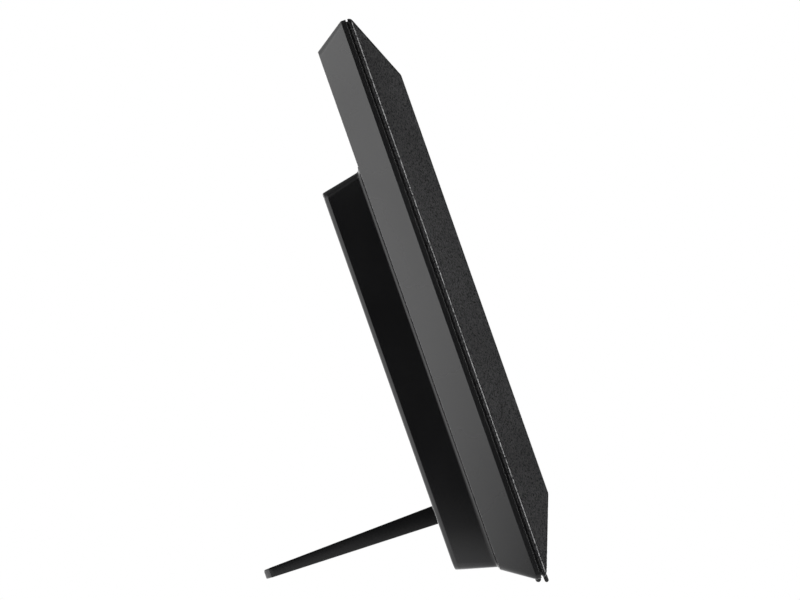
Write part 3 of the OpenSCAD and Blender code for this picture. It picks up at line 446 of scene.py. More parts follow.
def metal(name, colour, rough, stretch=(1.0, 1.0, 30.0), scale=900.0, depth=0.004, worn=0.3):
    """Rolled, plated or turned metal: noise stretched along one direction as fine lines in its height
    and gloss, slow tone changes, and brighter edges."""
    material, tree, shader = start_material(name)
    place = add(tree, "TexCoord").outputs["Object"]
    lined = add(tree, "Mapping", {"Vector": place, "Scale": stretch}).outputs["Vector"]
    lines = add(tree, "TexNoise", {"Vector": lined, "Scale": scale, "Detail": 4.0}).outputs["Fac"]
    tone = use_group(tree, moulded, Scale=scale, Patches=70.0)["Tone"]
    wear = use_group(tree, edge_wear, Amount=worn)["Mask"]
    feed(tree, shader, {
        "Base Color": mix(tree, wear, mix(tree, tone, scaled(colour, 0.86), colour), scaled(colour, 1.15)),
        "Roughness": remap(tree, lines, 0.3, 0.7, rough * 0.75, rough * 1.25),
        "Normal": bump(tree, lines, depth),
        "Metallic": 1.0,
    })
    return material


def finish(material, *nodes):
    """Gives CAD nodes a material of their own in place of the plain one."""
    for name in nodes:
        for place in frame["nodes"][name].material_slots:
            place.material = material


window_acrylic = glass("window_acrylic", (0.95, 0.96, 0.97), 0.03, clear=1.0, marks=0.35)
window = slab(window_lo, window_hi, window_round, window_edge)
build("window_pane", window, "case", window_acrylic, ["screen_window"])

display_glass = glass("display_glass", (0.012, 0.013, 0.017), 0.28, marks=0.15)
display = slab(*upright_box("lcd_glass"), display_round, display_edge)
build("display_panel", display, "case", display_glass, ["lcd_glass"])

sheet_steel = metal("sheet_steel", (0.62, 0.62, 0.63), 0.32)
finish(sheet_steel, "lcd_metal_frame", "support_plate")
black_foam = plastic("black_foam", (0.012, 0.012, 0.012), 0.85, scale=1300.0, depth=0.12, worn=0.1, dust=0.05)
finish(black_foam, "window_gasket")
white_film = plastic("white_film", (0.80, 0.80, 0.79), 0.55, scale=3000.0, depth=0.01, worn=0.1, dust=0.02)
finish(white_film, "diffuser_sheets", "backlight_tray")
guide_acrylic = glass("guide_acrylic", (0.86, 0.90, 0.91), 0.08, clear=0.6, marks=0.1)
finish(guide_acrylic, "light_guide")


# ---- Receiver for the remote control -------------------------------------------------------------
# A polished dark red lens bows 0.35 mm out of a low collar in the bottom bevel. Behind it a receiver
# sits on a small circuit board, screwed to a boss of the bezel.

lens_r, lens_rise, lens_depth = 2.25, 0.35, 1.4
lens_bow = 1.25
lens_height = 0.66 * bevel_bottom


def lathe(profile, centre, axis, count=40):
    """Turns a profile of (radius, height, wear) rows about an axis through a centre: the centre, plus
    the height along the axis, plus the radius times (cos a, sin a) across it."""
    radius, height, wear = np.asarray(profile, float).T
    axis = np.asarray(axis, float) / np.linalg.norm(axis)
    side = np.cross(axis, [1.0, 0, 0] if abs(axis[0]) < 0.9 else [0, 0, 1.0])
    side /= np.linalg.norm(side)
    angle = np.linspace(0, 2 * math.pi, count, endpoint=False)
    around = np.cos(angle)[:, None] * side + np.sin(angle)[:, None] * np.cross(axis, side)
    points = np.asarray(centre, float) + height[:, None, None] * axis + radius[:, None, None] * around
    return grid(points, np.repeat(wear, count))


lens_slope = (ridge_y - lip_front) / bevel_bottom
lens_base = (0, lip_front + lens_height * lens_slope, lens_height)
lens_axis = (0, -1, lens_slope)
# The lens is the top of an ellipsoid, cut off at the angle lens_bow from its pole.
bow = np.linspace(0, lens_bow, 12)
bow_r = lens_r * np.sin(bow) / math.sin(lens_bow)
bow_height = lens_rise * (np.cos(bow) - math.cos(lens_bow)) / (1 - math.cos(lens_bow))
lens_profile = [*zip(bow_r, bow_height, 0 * bow)]
lens_profile += [(lens_r, -0.15, 0), (lens_r - 0.2, -lens_depth, 0), (0, -lens_depth, 0)]
lens_acrylic = glass("lens_acrylic", (0.022, 0.008, 0.010), 0.07, marks=0.3)
lens = [lathe(lens_profile, lens_base, lens_axis)]
build("remote_lens", lens, "case", lens_acrylic, ["ir_lens"])

collar = [(0.04, 0.0, 0), (0.04, 0.16, 1), (0.16, 0.24, 1), (0.34, 0.22, 1), (0.62, 0.02, 0), (0.62, -0.3, 0),
          (0.04, -0.3, 0), (0.04, 0.0, 0)]
collar = [lathe(np.array(collar) + [lens_r, 0, 0], lens_base, lens_axis)]
build("remote_lens_collar", collar, "case", bezel_plastic)

circuit_board = plastic("circuit_board", (0.018, 0.10, 0.045), 0.38, scale=900.0, depth=0.01, worn=0.2,
                        dust=0.1, wear_and_highlight_colour=(0.35, 0.30, 0.12))
chip_plastic = plastic("chip_plastic", (0.016, 0.016, 0.017), 0.5, scale=2600.0, depth=0.015, worn=0.3)
finish(circuit_board, "ir_board")
finish(chip_plastic, "ir_receiver")


# ---- Rear shell ----------------------------------------------------------------------------------
# Smooth black plastic, moulded as a shallow tray: an upright edge across the gap from the bezel, an
# inward slope on all four sides and a flat back. A tongue inside it closes the gap from within. Four
# wells let the case screws reach the bezel, and seven round holes guide the push buttons.

rear_lip = 1.5
rear_taper = 6.4
rear_wall = 2.0
tongue = (6.02, 7.42, -0.98)
gap_rib_in, gap_rib_front = 0.7, -0.24
ledge_depth = 1.3
well_r, well_wall_r, well_seat_y, well_floor, screw_hole_r = 3.2, 4.6, 3.88, 1.5, 1.4
button_hole_r = 3.35
button_names = ["power", "menu", "left", "up", "down", "right", "enter"]


def rear_inside(y):
    """Inset of the rear shell's inner face at depth y, one wall inside its slope."""
    slope = rear_taper / (rear_depth - rear_lip)
    return (y - reveal_gap / 2 - rear_lip) * slope + rear_wall * math.hypot(1, slope)


def mouth(fillet, depth, steps=4):
    """Rows (growth, depth, wear) down a hole: a quarter round of radius `fillet`, then a plain wall."""
    t = np.linspace(0, math.pi / 2, steps + 1)
    curve = np.stack([fillet * (1 - np.sin(t)), fillet * (1 - np.cos(t)), np.ones(steps + 1)], 1)
    return np.concatenate([[(1.4 * fillet, 0, 0)], curve, [(0, 1.4 * fillet, 0), (0, depth, 0)]])


def shaft(at, size, corner, rows, arc=8):
    """The loops of a hole or a bar, as (across, depth, height). Each row (growth, depth, wear) gives one
    loop: the rounded rectangle of half size `size` about `at`, grown outwards, at that depth. The centre,
    the half sizes and the corner may be a column of values, one for each row."""
    grow, depth, _ = np.asarray(rows, float).T
    straight = max(np.max(size[0] - corner), np.max(size[1] - corner)) > 1e-6
    turns = np.linspace(0, math.pi / 2, arc + 1)[: arc + 1 if straight else arc]
    angle = (np.radians([0, 90, 180, 270])[:, None] + turns).ravel()
    sign = np.repeat([[1, 1], [-1, 1], [-1, -1], [1, -1]], len(turns), 0)
    reach = corner + grow[:, None]
    across = at[0] + sign[:, 0] * (size[0] - corner) + reach * np.cos(angle)
    height = at[1] + sign[:, 1] * (size[1] - corner) + reach * np.sin(angle)
    return np.stack([across, np.broadcast_to(depth[:, None], across.shape), height], -1)


def sunk(loops, face_y):
    """Loops of a hole in a face that looks back, from depth below the face to the frame's own y."""
    return loops * [1, -1, 1] + [0, face_y, 0]


def hole(face_y, at, half, corner, rows, arc=8):
    """Loops and wear of a hole in a face that looks back, from the face inwards."""
    loops = sunk(shaft(at, half, corner, rows, arc), face_y)
    return loops, np.repeat(np.asarray(rows, float)[:, 2], loops.shape[1])


def round_hole(face_y, at, radius, rows, arc=8):
    """A round hole in a face that looks back."""
    return hole(face_y, at, (radius, radius), radius, rows, arc)


def well_rows(fillet, depth, radius, post_r, wall):
    """Rows of a screw well: its wall down to the seat, the screw's hole through the floor, and back up
    the outside of the post to the inner face."""
    bore, post, end = screw_hole_r - radius, post_r - radius, depth + well_floor
    return [*mouth(fillet, depth), (bore, depth, 0), (bore, end, 0), (post, end, 0), (post, wall, 0)]


shell_plastic = plastic("shell_plastic", (0.016, 0.016, 0.017), 0.27, scale=2600.0, depth=0.012, vary=0.03,
                        tone=0.08, worn=0.3, dust=0.10)
rear_front = reveal_gap / 2
rear_in = rear_back - rear_wall
ledge_y = rear_front + ledge_depth
tongue_in, tongue_out, tongue_y = tongue
shell_corners = [
    even(rear_inside(rear_in) + 0.5, rear_in),
    even(rear_inside(rear_in), rear_in),
    even(rear_inside(ledge_y), ledge_y),
    even(tongue_out, ledge_y),
    even(tongue_out, tongue_y),
    even(tongue_in, tongue_y),
    even(tongue_in, gap_rib_front),
    even(gap_rib_in, gap_rib_front),
    even(gap_rib_in, rear_front),
    even(0, rear_front),
    even(0, rear_front + rear_lip),
    even(rear_taper, rear_back),
    even(rear_taper + 2, rear_back),
]
corner_rows = 8     # rows that soften makes of one corner; the first and last corners only give directions
shell_outline = soften(shell_corners, [0, 0, 0, 0, 0.2, 0.2, 0, 0, 0, 0.15, 0.12, 0.1, 0])
shell_outline = shell_outline[corner_rows:-corner_rows]
shell_corner = np.interp(shell_outline[:, 3], [tongue_y, rear_front, rear_back], [1.2, 1.4, 2.2])
shell_rings, shell_wear = carry(shell_outline, half_w, 0, body_h, shell_corner)


def corner_places(node, reach):
    """Centres of the pieces at the corners of a node's box, each reaching that far from its centre."""
    lo, hi = upright_box(node)
    across = sorted({round(lo[0] + reach, 3), round(hi[0] - reach, 3)})
    upward = sorted({round(lo[2] + reach, 3), round(hi[2] - reach, 3)})
    return [(x, z) for x in across for z in upward]


head_r = 2.6
button_boxes = [upright_box(name + "_button") for name in button_names]
button_at = [((lo[0] + hi[0]) / 2, (lo[2] + hi[2]) / 2) for lo, hi in button_boxes]
shell_well = well_rows(0.3, rear_back - well_seat_y, well_r, well_wall_r, rear_wall)
shell_holes = [round_hole(rear_back, at, well_r, shell_well) for at in corner_places("case_screws", head_r)]
shell_holes += [round_hole(rear_back, at, button_hole_r, mouth(0.28, rear_wall)) for at in button_at]
shell = [grid(shell_rings, shell_wear)] + [grid(*found) for found in shell_holes]
shell += [panel(shell_rings[-1], [loops[0] for loops, _ in shell_holes]),
          panel(shell_rings[0], [loops[-1] for loops, _ in shell_holes])]
build("rear_shell_tray", shell, "case", shell_plastic, ["rear_shell"])


# ---- Screws --------------------------------------------------------------------------------------
# Zinc-plated steel screws with low domed heads and a cross recess. The four in the case wells pull the
# bezel to the rear shell, four more hold the cover, and small ones hold the boards and the steel plate.

screw_steel = metal("screw_steel", (0.30, 0.30, 0.31), 0.30, stretch=(1, 1, 1), scale=1500.0, worn=0.6)


def screws(name, node, places, seat_y, shank_r, length, cap_r, cap_h, facing=1):
    """Screws of one size. The head's height at radius r is a dome, cap_h (1 - 0.3 r^2), less a cross cut:
    two crossed bars whose sides slope in a short way. The shank is a plain turned profile."""
    rho = np.concatenate([np.linspace(0, 0.8, 13), [0.88, 0.94, 0.985, 1.0]])
    angle = np.linspace(0, 2 * math.pi, 48, endpoint=False)
    u, v = rho[:, None] * np.cos(angle), rho[:, None] * np.sin(angle)
    bar = [np.clip((0.13 - np.abs(p)) / 0.05, 0, 1) * np.clip((0.62 - np.abs(q)) / 0.14, 0, 1)
           for p, q in ((u, v), (v, u))]
    rounded = np.where(rho > 0.96, 0.12, 0)[:, None]
    dome = cap_h * (1 - 0.3 * rho[:, None] ** 2 - rounded - 0.7 * np.maximum(*bar))
    body = np.array([(cap_r, 0), (shank_r, 0), (shank_r, shank_r - length), (0, -length)])
    radius = np.concatenate([rho * cap_r, body[:, 0]])[:, None]
    height = np.concatenate([dome, np.repeat(body[:, 1:], len(angle), 1)])
    wear = np.zeros_like(height)
    wear[11:16] = 1
    patches = []
    for x, z in places:
        points = [x + radius * np.cos(angle), seat_y + facing * height, z + radius * np.sin(angle)]
        patches.append(grid(np.stack(points, -1), wear))
    build(name, patches, "case", screw_steel, [node])


def case_screws(name, node, seat_y, length):
    """The wide screws that hold the shells and the cover, at the corners of their CAD node's box."""
    screws(name, node, corner_places(node, head_r), seat_y, 1.25, length, head_r, 1.6)


def small_screws(name, node, seat_y, length, facing=1, count=4):
    """The small screws of the boards and the plate, at the corners of their CAD node's box."""
    places = corner_places(node, small_head_r)[:count]
    screws(name, node, places, seat_y, 1.0, length, small_head_r, 1.2, facing)


small_head_r = 2.0
case_screws("case_screw_set", "case_screws", well_seat_y, 6.6)
small_screws("plate_screw_set", "support_screws", upright_box("support_plate")[1][1], 3.6)
small_screws("receiver_screw", "ir_screw", upright_box("ir_board")[1][1], 4.4, count=1)


# ---- Main board and its sockets ------------------------------------------------------------------
# A green glass-fibre board on four standoffs behind the rear shell. Its sockets for the power plug, the
# USB lead and the memory card, and its slide switch, look out through the side of the cover.

small_screws("board_screw_set", "board_screws", upright_box("main_board")[1][1], 4.2)
finish(circuit_board, "main_board", "button_board")
finish(chip_plastic, "processor", "memory_chips", "cell_holder", "power_switch")
can_aluminium = metal("can_aluminium", (0.72, 0.73, 0.74), 0.22, scale=700.0)
finish(can_aluminium, "capacitors", "coin_cell")
socket_nylon = plastic("socket_nylon", (0.70, 0.66, 0.55), 0.45, scale=2000.0, depth=0.01, worn=0.2)
finish(socket_nylon, "ribbon_sockets", "lead_socket")
led_board = plastic("led_board", (0.75, 0.70, 0.45), 0.4, scale=500.0, depth=0.02, worn=0.2)
finish(led_board, "led_strip")
ribbon_film = plastic("ribbon_film", (0.60, 0.56, 0.46), 0.3, scale=600.0, depth=0.008, worn=0.2)
finish(ribbon_film, "lcd_ribbon", "button_ribbon")
bright_steel = metal("bright_steel", (0.68, 0.68, 0.69), 0.24, stretch=(30.0, 1.0, 1.0), worn=0.4)
finish(bright_steel, "card_socket", "usb_socket")
jack_plastic = plastic("jack_plastic", (0.012, 0.012, 0.013), 0.35, scale=2500.0, depth=0.01)
finish(jack_plastic, "dc_jack")


# ---- Push buttons --------------------------------------------------------------------------------
# Seven glossy black caps in the holes of the rear shell, each pushing a small switch on the button
# board. A flange holds each cap in, its top is slightly dished, and its sign is a shallow moulding filled
# with pale grey paint.

cap_r, cap_flange, flange_h = 3.2, 4.1, 0.8
dished, dish_depth, sign_depth = 0.88, 0.14, 0.06


def triangle(u, v):
    """Distance outside a triangle that points along +v."""
    return np.maximum(-v - 0.22, 0.5 * v + 0.87 * np.abs(u) - 0.22)


signs = {
    "up": triangle,
    "down": lambda u, v: triangle(u, -v),
    "right": lambda u, v: triangle(v, u),
    "left": lambda u, v: triangle(v, -u),
    "enter": lambda u, v: np.hypot(u, v) - 0.2,
    "menu": lambda u, v: np.maximum(np.abs(u) - 0.34, np.abs(np.abs(np.abs(v) - 0.12) - 0.12) - 0.05),
    "power": lambda u, v: np.minimum(
        np.maximum(np.abs(np.hypot(u, v) - 0.34) - 0.055, np.minimum(v, 0.16 - np.abs(u))),
        np.maximum(np.abs(u) - 0.055, np.abs(v - 0.34) - 0.2)),
}


def button_material():
    """Glossy black plastic whose wear value above 1 shows the painted sign."""
    material = plastic("button_plastic", (0.013, 0.013, 0.014), 0.2, scale=2600.0, depth=0.006, worn=0.4)
    tree, shader = material.node_tree, material.node_tree.nodes["Principled BSDF"]
    plain = shader.inputs["Base Color"].links[0].from_socket
    painted = remap(tree, add(tree, "Attribute", attribute_name="wear").outputs["Fac"], 1.3, 1.8)
    tree.links.new(mix(tree, painted, plain, (0.52, 0.52, 0.50)), shader.inputs["Base Color"])
    return material


button_plastic = button_material()
for name, (lo, hi), (x, z) in zip(button_names, button_boxes, button_at):
    rho = np.linspace(0, dished, 34)
    angle = np.linspace(0, 2 * math.pi, 72, endpoint=False)
    # Seen from behind, +x is to the left, so the sign is drawn on -u.
    u, v = -rho[:, None] * np.cos(angle), rho[:, None] * np.sin(angle)
    sign = np.clip(0.5 - signs[name](u, v) / 0.05, 0, 1)
    top = hi[1] - dish_depth + dish_depth * (rho[:, None] / dished) ** 2 - sign_depth * sign
    bend = np.linspace(0, math.pi / 2, 6)
    edge_r = cap_r * dished + cap_r * (1 - dished) * np.sin(bend[1:])
    edge_y = hi[1] - cap_r * (1 - dished) * (1 - np.cos(bend[1:]))
    low = np.array([(cap_r, flange_h), (cap_flange, flange_h), (cap_flange, 0), (0, 0)]) + [0, lo[1]]
    radius = np.concatenate([rho * cap_r, edge_r, low[:, 0]])[:, None]
    below = np.concatenate([edge_y, low[:, 1]])[:, None]
    height = np.concatenate([top, np.repeat(below, len(angle), 1)])
    wear = np.concatenate([2 * sign, np.ones((len(edge_r), len(angle))), np.zeros((len(low), len(angle)))])
    points = np.stack([x + radius * np.cos(angle), height, z + radius * np.sin(angle)], -1)
    node = name + "_button"
    build(node + "_cap", [grid(points, wear)], node, button_plastic, [node])

small_screws("button_board_screw_set", "button_board_screws", upright_box("button_board")[0][1], 4.8, -1)
finish(bright_steel, "tact_switches")
finish(button_plastic, "power_knob")


# ---- Speakers ------------------------------------------------------------------------------------
# Two small round speakers stand on foam rings behind the grilles of the cover: a painted steel basket
# with a pressed paper cone, and a pair of red leads to the main board.

basket_paint = plastic("basket_paint", (0.05, 0.052, 0.055), 0.4, scale=1800.0, depth=0.02, worn=0.5)
finish(basket_paint, "speaker_baskets")
cone_paper = plastic("cone_paper", (0.03, 0.03, 0.03), 0.9, scale=1100.0, depth=0.06, worn=0.2)
finish(cone_paper, "speaker_cones")
finish(black_foam, "speaker_gaskets")
lead_sleeve = plastic("lead_sleeve", (0.33, 0.02, 0.02), 0.4, scale=1500.0, depth=0.02, worn=0.1)
finish(lead_sleeve, "speaker_leads")


# ---- Rear cover ----------------------------------------------------------------------------------
# Black plastic box with sloping sides, moulded in one piece and held to the rear shell by four screws.
# Slots let the heat out, rings of holes let the sound out, and the sockets open through its side. The
# leg folds into a recess with a hollow above it for a fingertip.

cover_wall = 1.8
side_angle, top_angle = 15.2, 11.6
cover_slopes = np.tan(np.radians([side_angle, side_angle, top_angle]))
cover_lo, cover_hi = upright_box("rear_cover")
cover_half, cover_z0, cover_z1, cover_y = cover_hi[0], cover_lo[2], cover_hi[2], cover_hi[1]
cover_in_y = cover_y - cover_wall
cover_lift = 0.02
flare, flare_edge, flare_reach = 1.35, 0.16, 1.2
recess_half, recess_floor = 18.6, 6.1
recess_z0, recess_z1 = 24.4, 85.9
scoop_r, scoop_depth = 8.0, 4.0
rim = 0.3
speaker_at = (38.0, 112.5)
ring_pitch, ring_hole_r = 3.4, 0.9
cover_plastic = plastic("cover_plastic", (0.004, 0.004, 0.0045), 0.24, scale=2300.0, depth=0.010, vary=0.03,
                        tone=0.10, worn=0.4, dust=0.12, specular=0.29)


def cover_side(y, wall=0.0):
    """Insets of the cover's sides, bottom and top at depth y, or of the faces that far inside them."""
    return (np.asarray(y)[..., None] - rear_back) * cover_slopes + wall * np.hypot(1, cover_slopes)


base_y, edge_y = rear_back + cover_lift, rear_back + cover_lift + flare_edge
flared = np.array([-flare, -0.3, -flare])
bevel = (1.25, 0.60)
in_top, in_base = cover_side(cover_in_y, cover_wall), cover_side(base_y, cover_wall)
cover_corners = [
    (*(in_top + 1), cover_in_y),
    (*in_top, cover_in_y),
    (*in_base, base_y),
    (*flared, base_y),
    (*flared, edge_y),
    even(0.05, edge_y + 0.02),
    (*cover_side(cover_y - bevel[0]), cover_y - bevel[0]),
    (*(cover_side(cover_y) + [bevel[1], 0, 0]), cover_y),
    (*(cover_side(cover_y) + 2), cover_y),
]
cover_outline = soften(cover_corners, [0, 0, 0, 0, 0.05, flare_reach, 0.22, 0.62, 0], reach=1.15)
cover_outline = cover_outline[corner_rows:-corner_rows]
cover_corner = np.interp(cover_outline[:, 3], [base_y, cover_y], [1.6, 2.4])
cover_corner[: 2 * corner_rows] = 0.6
cover_rings, cover_wear = carry(cover_outline, cover_half, cover_z0, cover_z1, cover_corner)

# The inner face follows the outline's first corner and the outer face its fifth. Of each, the columns
# between the arcs at the port side's two ends stay open for the panels with the sockets.
inner_face, outer_face, side_run = corner_rows - 1, 5 * corner_rows - 1, (7, 17)


def edge_loop(rings, row):
    """The border of the block of the right-hand side that is left open for the sockets."""
    columns = np.arange(side_run[0], side_run[1] + 1)
    return np.concatenate([rings[row, columns], rings[row + 1, columns[::-1]]])


def socket_hole(centre, half, corner):
    """A hole through the sloping side: loops along x from the outer face to the inner one."""
    rows = mouth(0.12, cover_wall * math.hypot(1, cover_slopes[0]), 3)
    loops = shaft(centre, half, corner, rows)
    across = cover_half - cover_side(loops[..., 0])[..., 0] - loops[..., 1]
    return np.stack([across, loops[..., 0], loops[..., 2]], -1), np.repeat(rows[:, 2], loops.shape[1])


def opening(node, below, above, beside):
    """Middle and half size, in depth and height, of the hole for a socket, from its CAD box."""
    lo, hi = upright_box(node)
    lo, hi = lo[1:] - [below, beside], hi[1:] + [above, beside]
    return (lo + hi) / 2, (hi - lo) / 2


plug_r, switch_travel = 3.8, 3.0
knob_at, knob_half = opening("power_knob", 0.3, 0.3, 0.3)
knob_way = np.array([0, switch_travel / 2])
sockets = [
    socket_hole(opening("dc_jack", 0, 0, 0)[0], (plug_r, plug_r), plug_r),
    socket_hole(*opening("usb_socket", 0.2, 0.4, 0.6), 0.4),
    socket_hole(*opening("card_socket", 0.2, 0.2, -1.0), 0.4),
    socket_hole(knob_at + knob_way, knob_half + knob_way, 0.3),
]
slot_rows = mouth(0.22, cover_wall, 3)
cover_seat_y, cover_well_r, cover_post_r = 16.68, 3.1, 3.45
cover_well = well_rows(0.15, cover_y - cover_seat_y, cover_well_r, cover_post_r, cover_wall)
vent_x, vent_low, vent_pitch, vent_half = 48.3, 39.0, 5.0, (13.0, 0.9)
hanger_at, hanger_half = (62.0, 114.4), (5.5, 7.5)
rings_of_holes = [(ring_pitch * ring * math.cos(a), ring_pitch * ring * math.sin(a)) for ring in range(3)
                  for a in np.arange(max(1, 6 * ring)) * math.pi / (3 * max(1, ring))]
cover_screw_at = corner_places("cover_screws", head_r)
holes = [round_hole(cover_y, at, cover_well_r, cover_well, arc=6) for at in cover_screw_at]
for side in (-1, 1):
    vents = [(side * vent_x, vent_low + vent_pitch * i) for i in range(7)]
    sound = [(side * speaker_at[0] + x, speaker_at[1] + z) for x, z in rings_of_holes]
    holes += [hole(cover_y, at, vent_half, vent_half[1], slot_rows, arc=6) for at in vents]
    holes += [round_hole(cover_y, at, ring_hole_r, mouth(0.16, cover_wall, 3), arc=6) for at in sound]
    holes += [hole(cover_y, (side * hanger_at[0], hanger_at[1]), hanger_half, 0.8, slot_rows, arc=6)]


def recess():
    """The leg's recess. Its rim runs round three sides and a half, and round the fingertip hollow, a
    quarter of an ellipsoid: (r cos a cos b, r sin a cos b) at depth d sin b. The rest of the recess has
    upright walls and a flat floor. Returns the patches, the rim's first loop and the inner loop."""
    corner, arc = 0.9, 5
    centres = [(corner - recess_half, recess_z1 - corner), (corner - recess_half, recess_z0 + corner),
               (recess_half - corner, recess_z0 + corner), (recess_half - corner, recess_z1 - corner)]
    turns = np.linspace(0, math.pi / 2, arc + 1)
    path, away = [[(-scoop_r, recess_z1)]], [[(-1.0, 1.0)]]
    for centre, start in zip(centres, (90, 180, 270, 360)):
        angle = math.radians(start) + turns
        out = np.stack([np.cos(angle), np.sin(angle)], 1)
        path.append(np.array(centre) + corner * out)
        away.append(out)
    bowl = np.linspace(0, math.pi, 33)
    around = np.stack([np.cos(bowl), np.sin(bowl)], 1)
    path.append(np.array([0, recess_z1]) + scoop_r * around)
    away.append(around)
    path, away = np.concatenate(path), np.concatenate(away)
    last = len(path) - len(bowl)
    away[last] = (1.0, 1.0)
    path, away = path[:-1], away[:-1]
    rows = mouth(rim, rim, 3)[:-1]
    depth = rows[:, 1]
    flat = path + rows[:, 0, None, None] * away
    top_y = cover_y - np.repeat(depth[:, None], flat.shape[1], 1)
    top = np.stack([flat[..., 0], top_y, flat[..., 1]], -1)
    patches = [grid(top, np.repeat(rows[:, 2], top.shape[1]))]
    lip = top[-1]
    straight = lip[: last + 1]
    bottom = straight.copy()
    bottom[:, 1] = cover_y - recess_floor
    patches += [grid(np.stack([straight, bottom]), wrap=False), panel(bottom)]
    b = np.linspace(0, math.pi / 2, 14)[:, None]
    hollow_y = cover_y - depth[-1] - (scoop_depth - depth[-1]) * np.sin(b) + 0 * bowl
    hollow = np.stack([scoop_r * np.cos(bowl) * np.cos(b), hollow_y,
                       recess_z1 + scoop_r * np.sin(bowl) * np.cos(b)], -1)
    patches.append(grid(hollow, wrap=False))
    wall = np.concatenate([hollow[:, -1], hollow[::-1, 0][1:], [bottom[-1], bottom[0]]])
    patches.append(panel(wall, axes=(0, 1)))
    low, high = recess_z0 - cover_wall, recess_z1 + scoop_r + cover_wall
    around_it = [(0, cover_wall, 0), (0, recess_floor + cover_wall, 0)]
    size = (recess_half + cover_wall, (high - low) / 2)
    inner, _ = hole(cover_y, (0, (low + high) / 2), size, 1.5, around_it)
    patches += [grid(inner), panel(inner[-1])]
    return patches, top[0], inner[0]


recess_patches, recess_rim, recess_inner = recess()
open_sides = [(inner_face, inner_face + 1, *side_run), (outer_face, outer_face + 1, *side_run)]
cover = [grid(cover_rings, cover_wear, skip=open_sides)] + recess_patches
cover += [grid(loops, wear) for loops, wear in holes + sockets]
cover += [
    panel(edge_loop(cover_rings, outer_face), [loops[0] for loops, _ in sockets], axes=(1, 2)),
    panel(edge_loop(cover_rings, inner_face), [loops[-1] for loops, _ in sockets], axes=(1, 2)),
    panel(cover_rings[-1], [recess_rim] + [loops[0] for loops, _ in holes]),
    panel(cover_rings[0], [recess_inner] + [loops[-1] for loops, _ in holes]),
]
build("rear_cover_shell", cover, "case", cover_plastic, ["rear_cover"])
case_screws("cover_screw_set", "cover_screws", cover_seat_y, 6.0)
finish(sheet_steel, "hanger_plates")


# ---- Stand ---------------------------------------------------------------------------------------
# A black plastic leg turns on a steel pin across the recess, with a nylon washer on each side. It
# tapers to a rubber end that is pushed on over a tongue. The side that faces up when it is open has
# moulded pockets, and folds against the floor of the recess.

hinge_y, hinge_z = cover_y - 3.0, 27.5
leg_root_r, leg_tip_h, leg_half, leg_tip_half, leg_corner = 2.8, 1.35, 18.0, 15.5, 3.0
leg_edge, pad_len, pad_round = 0.28, 1.6, 0.25
tip_y = upright_box("stand_pad")[1][1]
leg_plastic = plastic("leg_plastic", (0.003, 0.003, 0.0033), 0.34, scale=2300.0, depth=0.02, worn=0.2,
                      dust=0.02, specular=0.12)
rubber = plastic("pad_rubber", (0.012, 0.012, 0.0125), 0.72, scale=1500.0, depth=0.05, vary=0.08, worn=0.3,
                 dust=0.2)


def leg_sections(y, shrink=0.0):
    """Half width, half thickness and corner radius of the leg at depth y, as columns."""
    taper = np.clip((y - hinge_y) / (tip_y - hinge_y), 0, 1)
    knuckle = np.sqrt(np.clip(leg_root_r ** 2 - np.minimum(y - hinge_y, 0) ** 2, 0, None))
    half_h = np.where(y < hinge_y, knuckle, leg_root_r + (leg_tip_h - leg_root_r) * taper) - shrink
    from_root = (y - hinge_y + 2 * leg_root_r) / (tip_y - hinge_y + 2 * leg_root_r)
    half_w = leg_half + (leg_tip_half - leg_half) * from_root
    past = np.clip(y - tip_y + leg_corner, 0, leg_corner)
    half_w = half_w - leg_corner + np.sqrt(leg_corner ** 2 - past ** 2) - shrink
    return half_w[:, None], half_h[:, None], np.minimum(leg_edge, half_h * 0.999)[:, None]


def bar(y, half_w, half_h, corner, arc=4):
    """Rounded-rectangle loops of a bar along y about the hinge's height, and the wear of their edges."""
    rows = np.stack([y * 0, y, y * 0], 1)
    points = shaft((0, hinge_z), (half_w, half_h), corner, rows, arc)
    on_edge = np.tile([0.0] + [1.0] * (arc - 1) + [0.0], 4)
    return points, np.broadcast_to(on_edge, points.shape[:2])


knuckle_turn = np.linspace(math.pi / 2, 0, 15)
pocket_y = (hinge_y + 9, tip_y - 12)
corner_turn = np.linspace(0, math.asin((leg_corner - pad_len) / leg_corner), 5)
leg_y = np.concatenate([hinge_y - leg_root_r * np.sin(knuckle_turn), [hinge_y + 7, tip_y - 10],
                        tip_y - leg_corner + leg_corner * np.sin(corner_turn)])
leg, leg_wear = bar(leg_y, *leg_sections(leg_y))
pocket_row, pocket_half, rib, pocket_floor = len(knuckle_turn), 12.6, 0.6, 0.4
middle_y = sum(pocket_y) / 2


def leg_top(y):
    """Height of the leg's upper face at depth y."""
    taper = (y - hinge_y) / (tip_y - hinge_y)
    return hinge_z + leg_root_r + (leg_tip_h - leg_root_r) * taper


def pocket(x0, x1, y0, y1):
    """A pocket in the sloping upper face: a rounded mouth, straight walls and a flat floor."""
    rows = mouth(0.2, 0.6, 3)
    loops = shaft(((x0 + x1) / 2, (y0 + y1) / 2), ((x1 - x0) / 2, (y1 - y0) / 2), 0.7, rows, arc=4)
    across, depth, along = loops[..., 0], loops[..., 1], loops[..., 2]
    height = leg_top(along) - depth
    height[-1] = hinge_z + pocket_floor
    points = np.stack([across, along, height], -1)
    return points, np.repeat(rows[:, 2], points.shape[1])


pockets = [pocket(x0, x1, y0, y1) for x0, x1 in ((-pocket_half, -rib), (rib, pocket_half))
           for y0, y1 in ((pocket_y[0], middle_y - rib), (middle_y + rib, pocket_y[1]))]
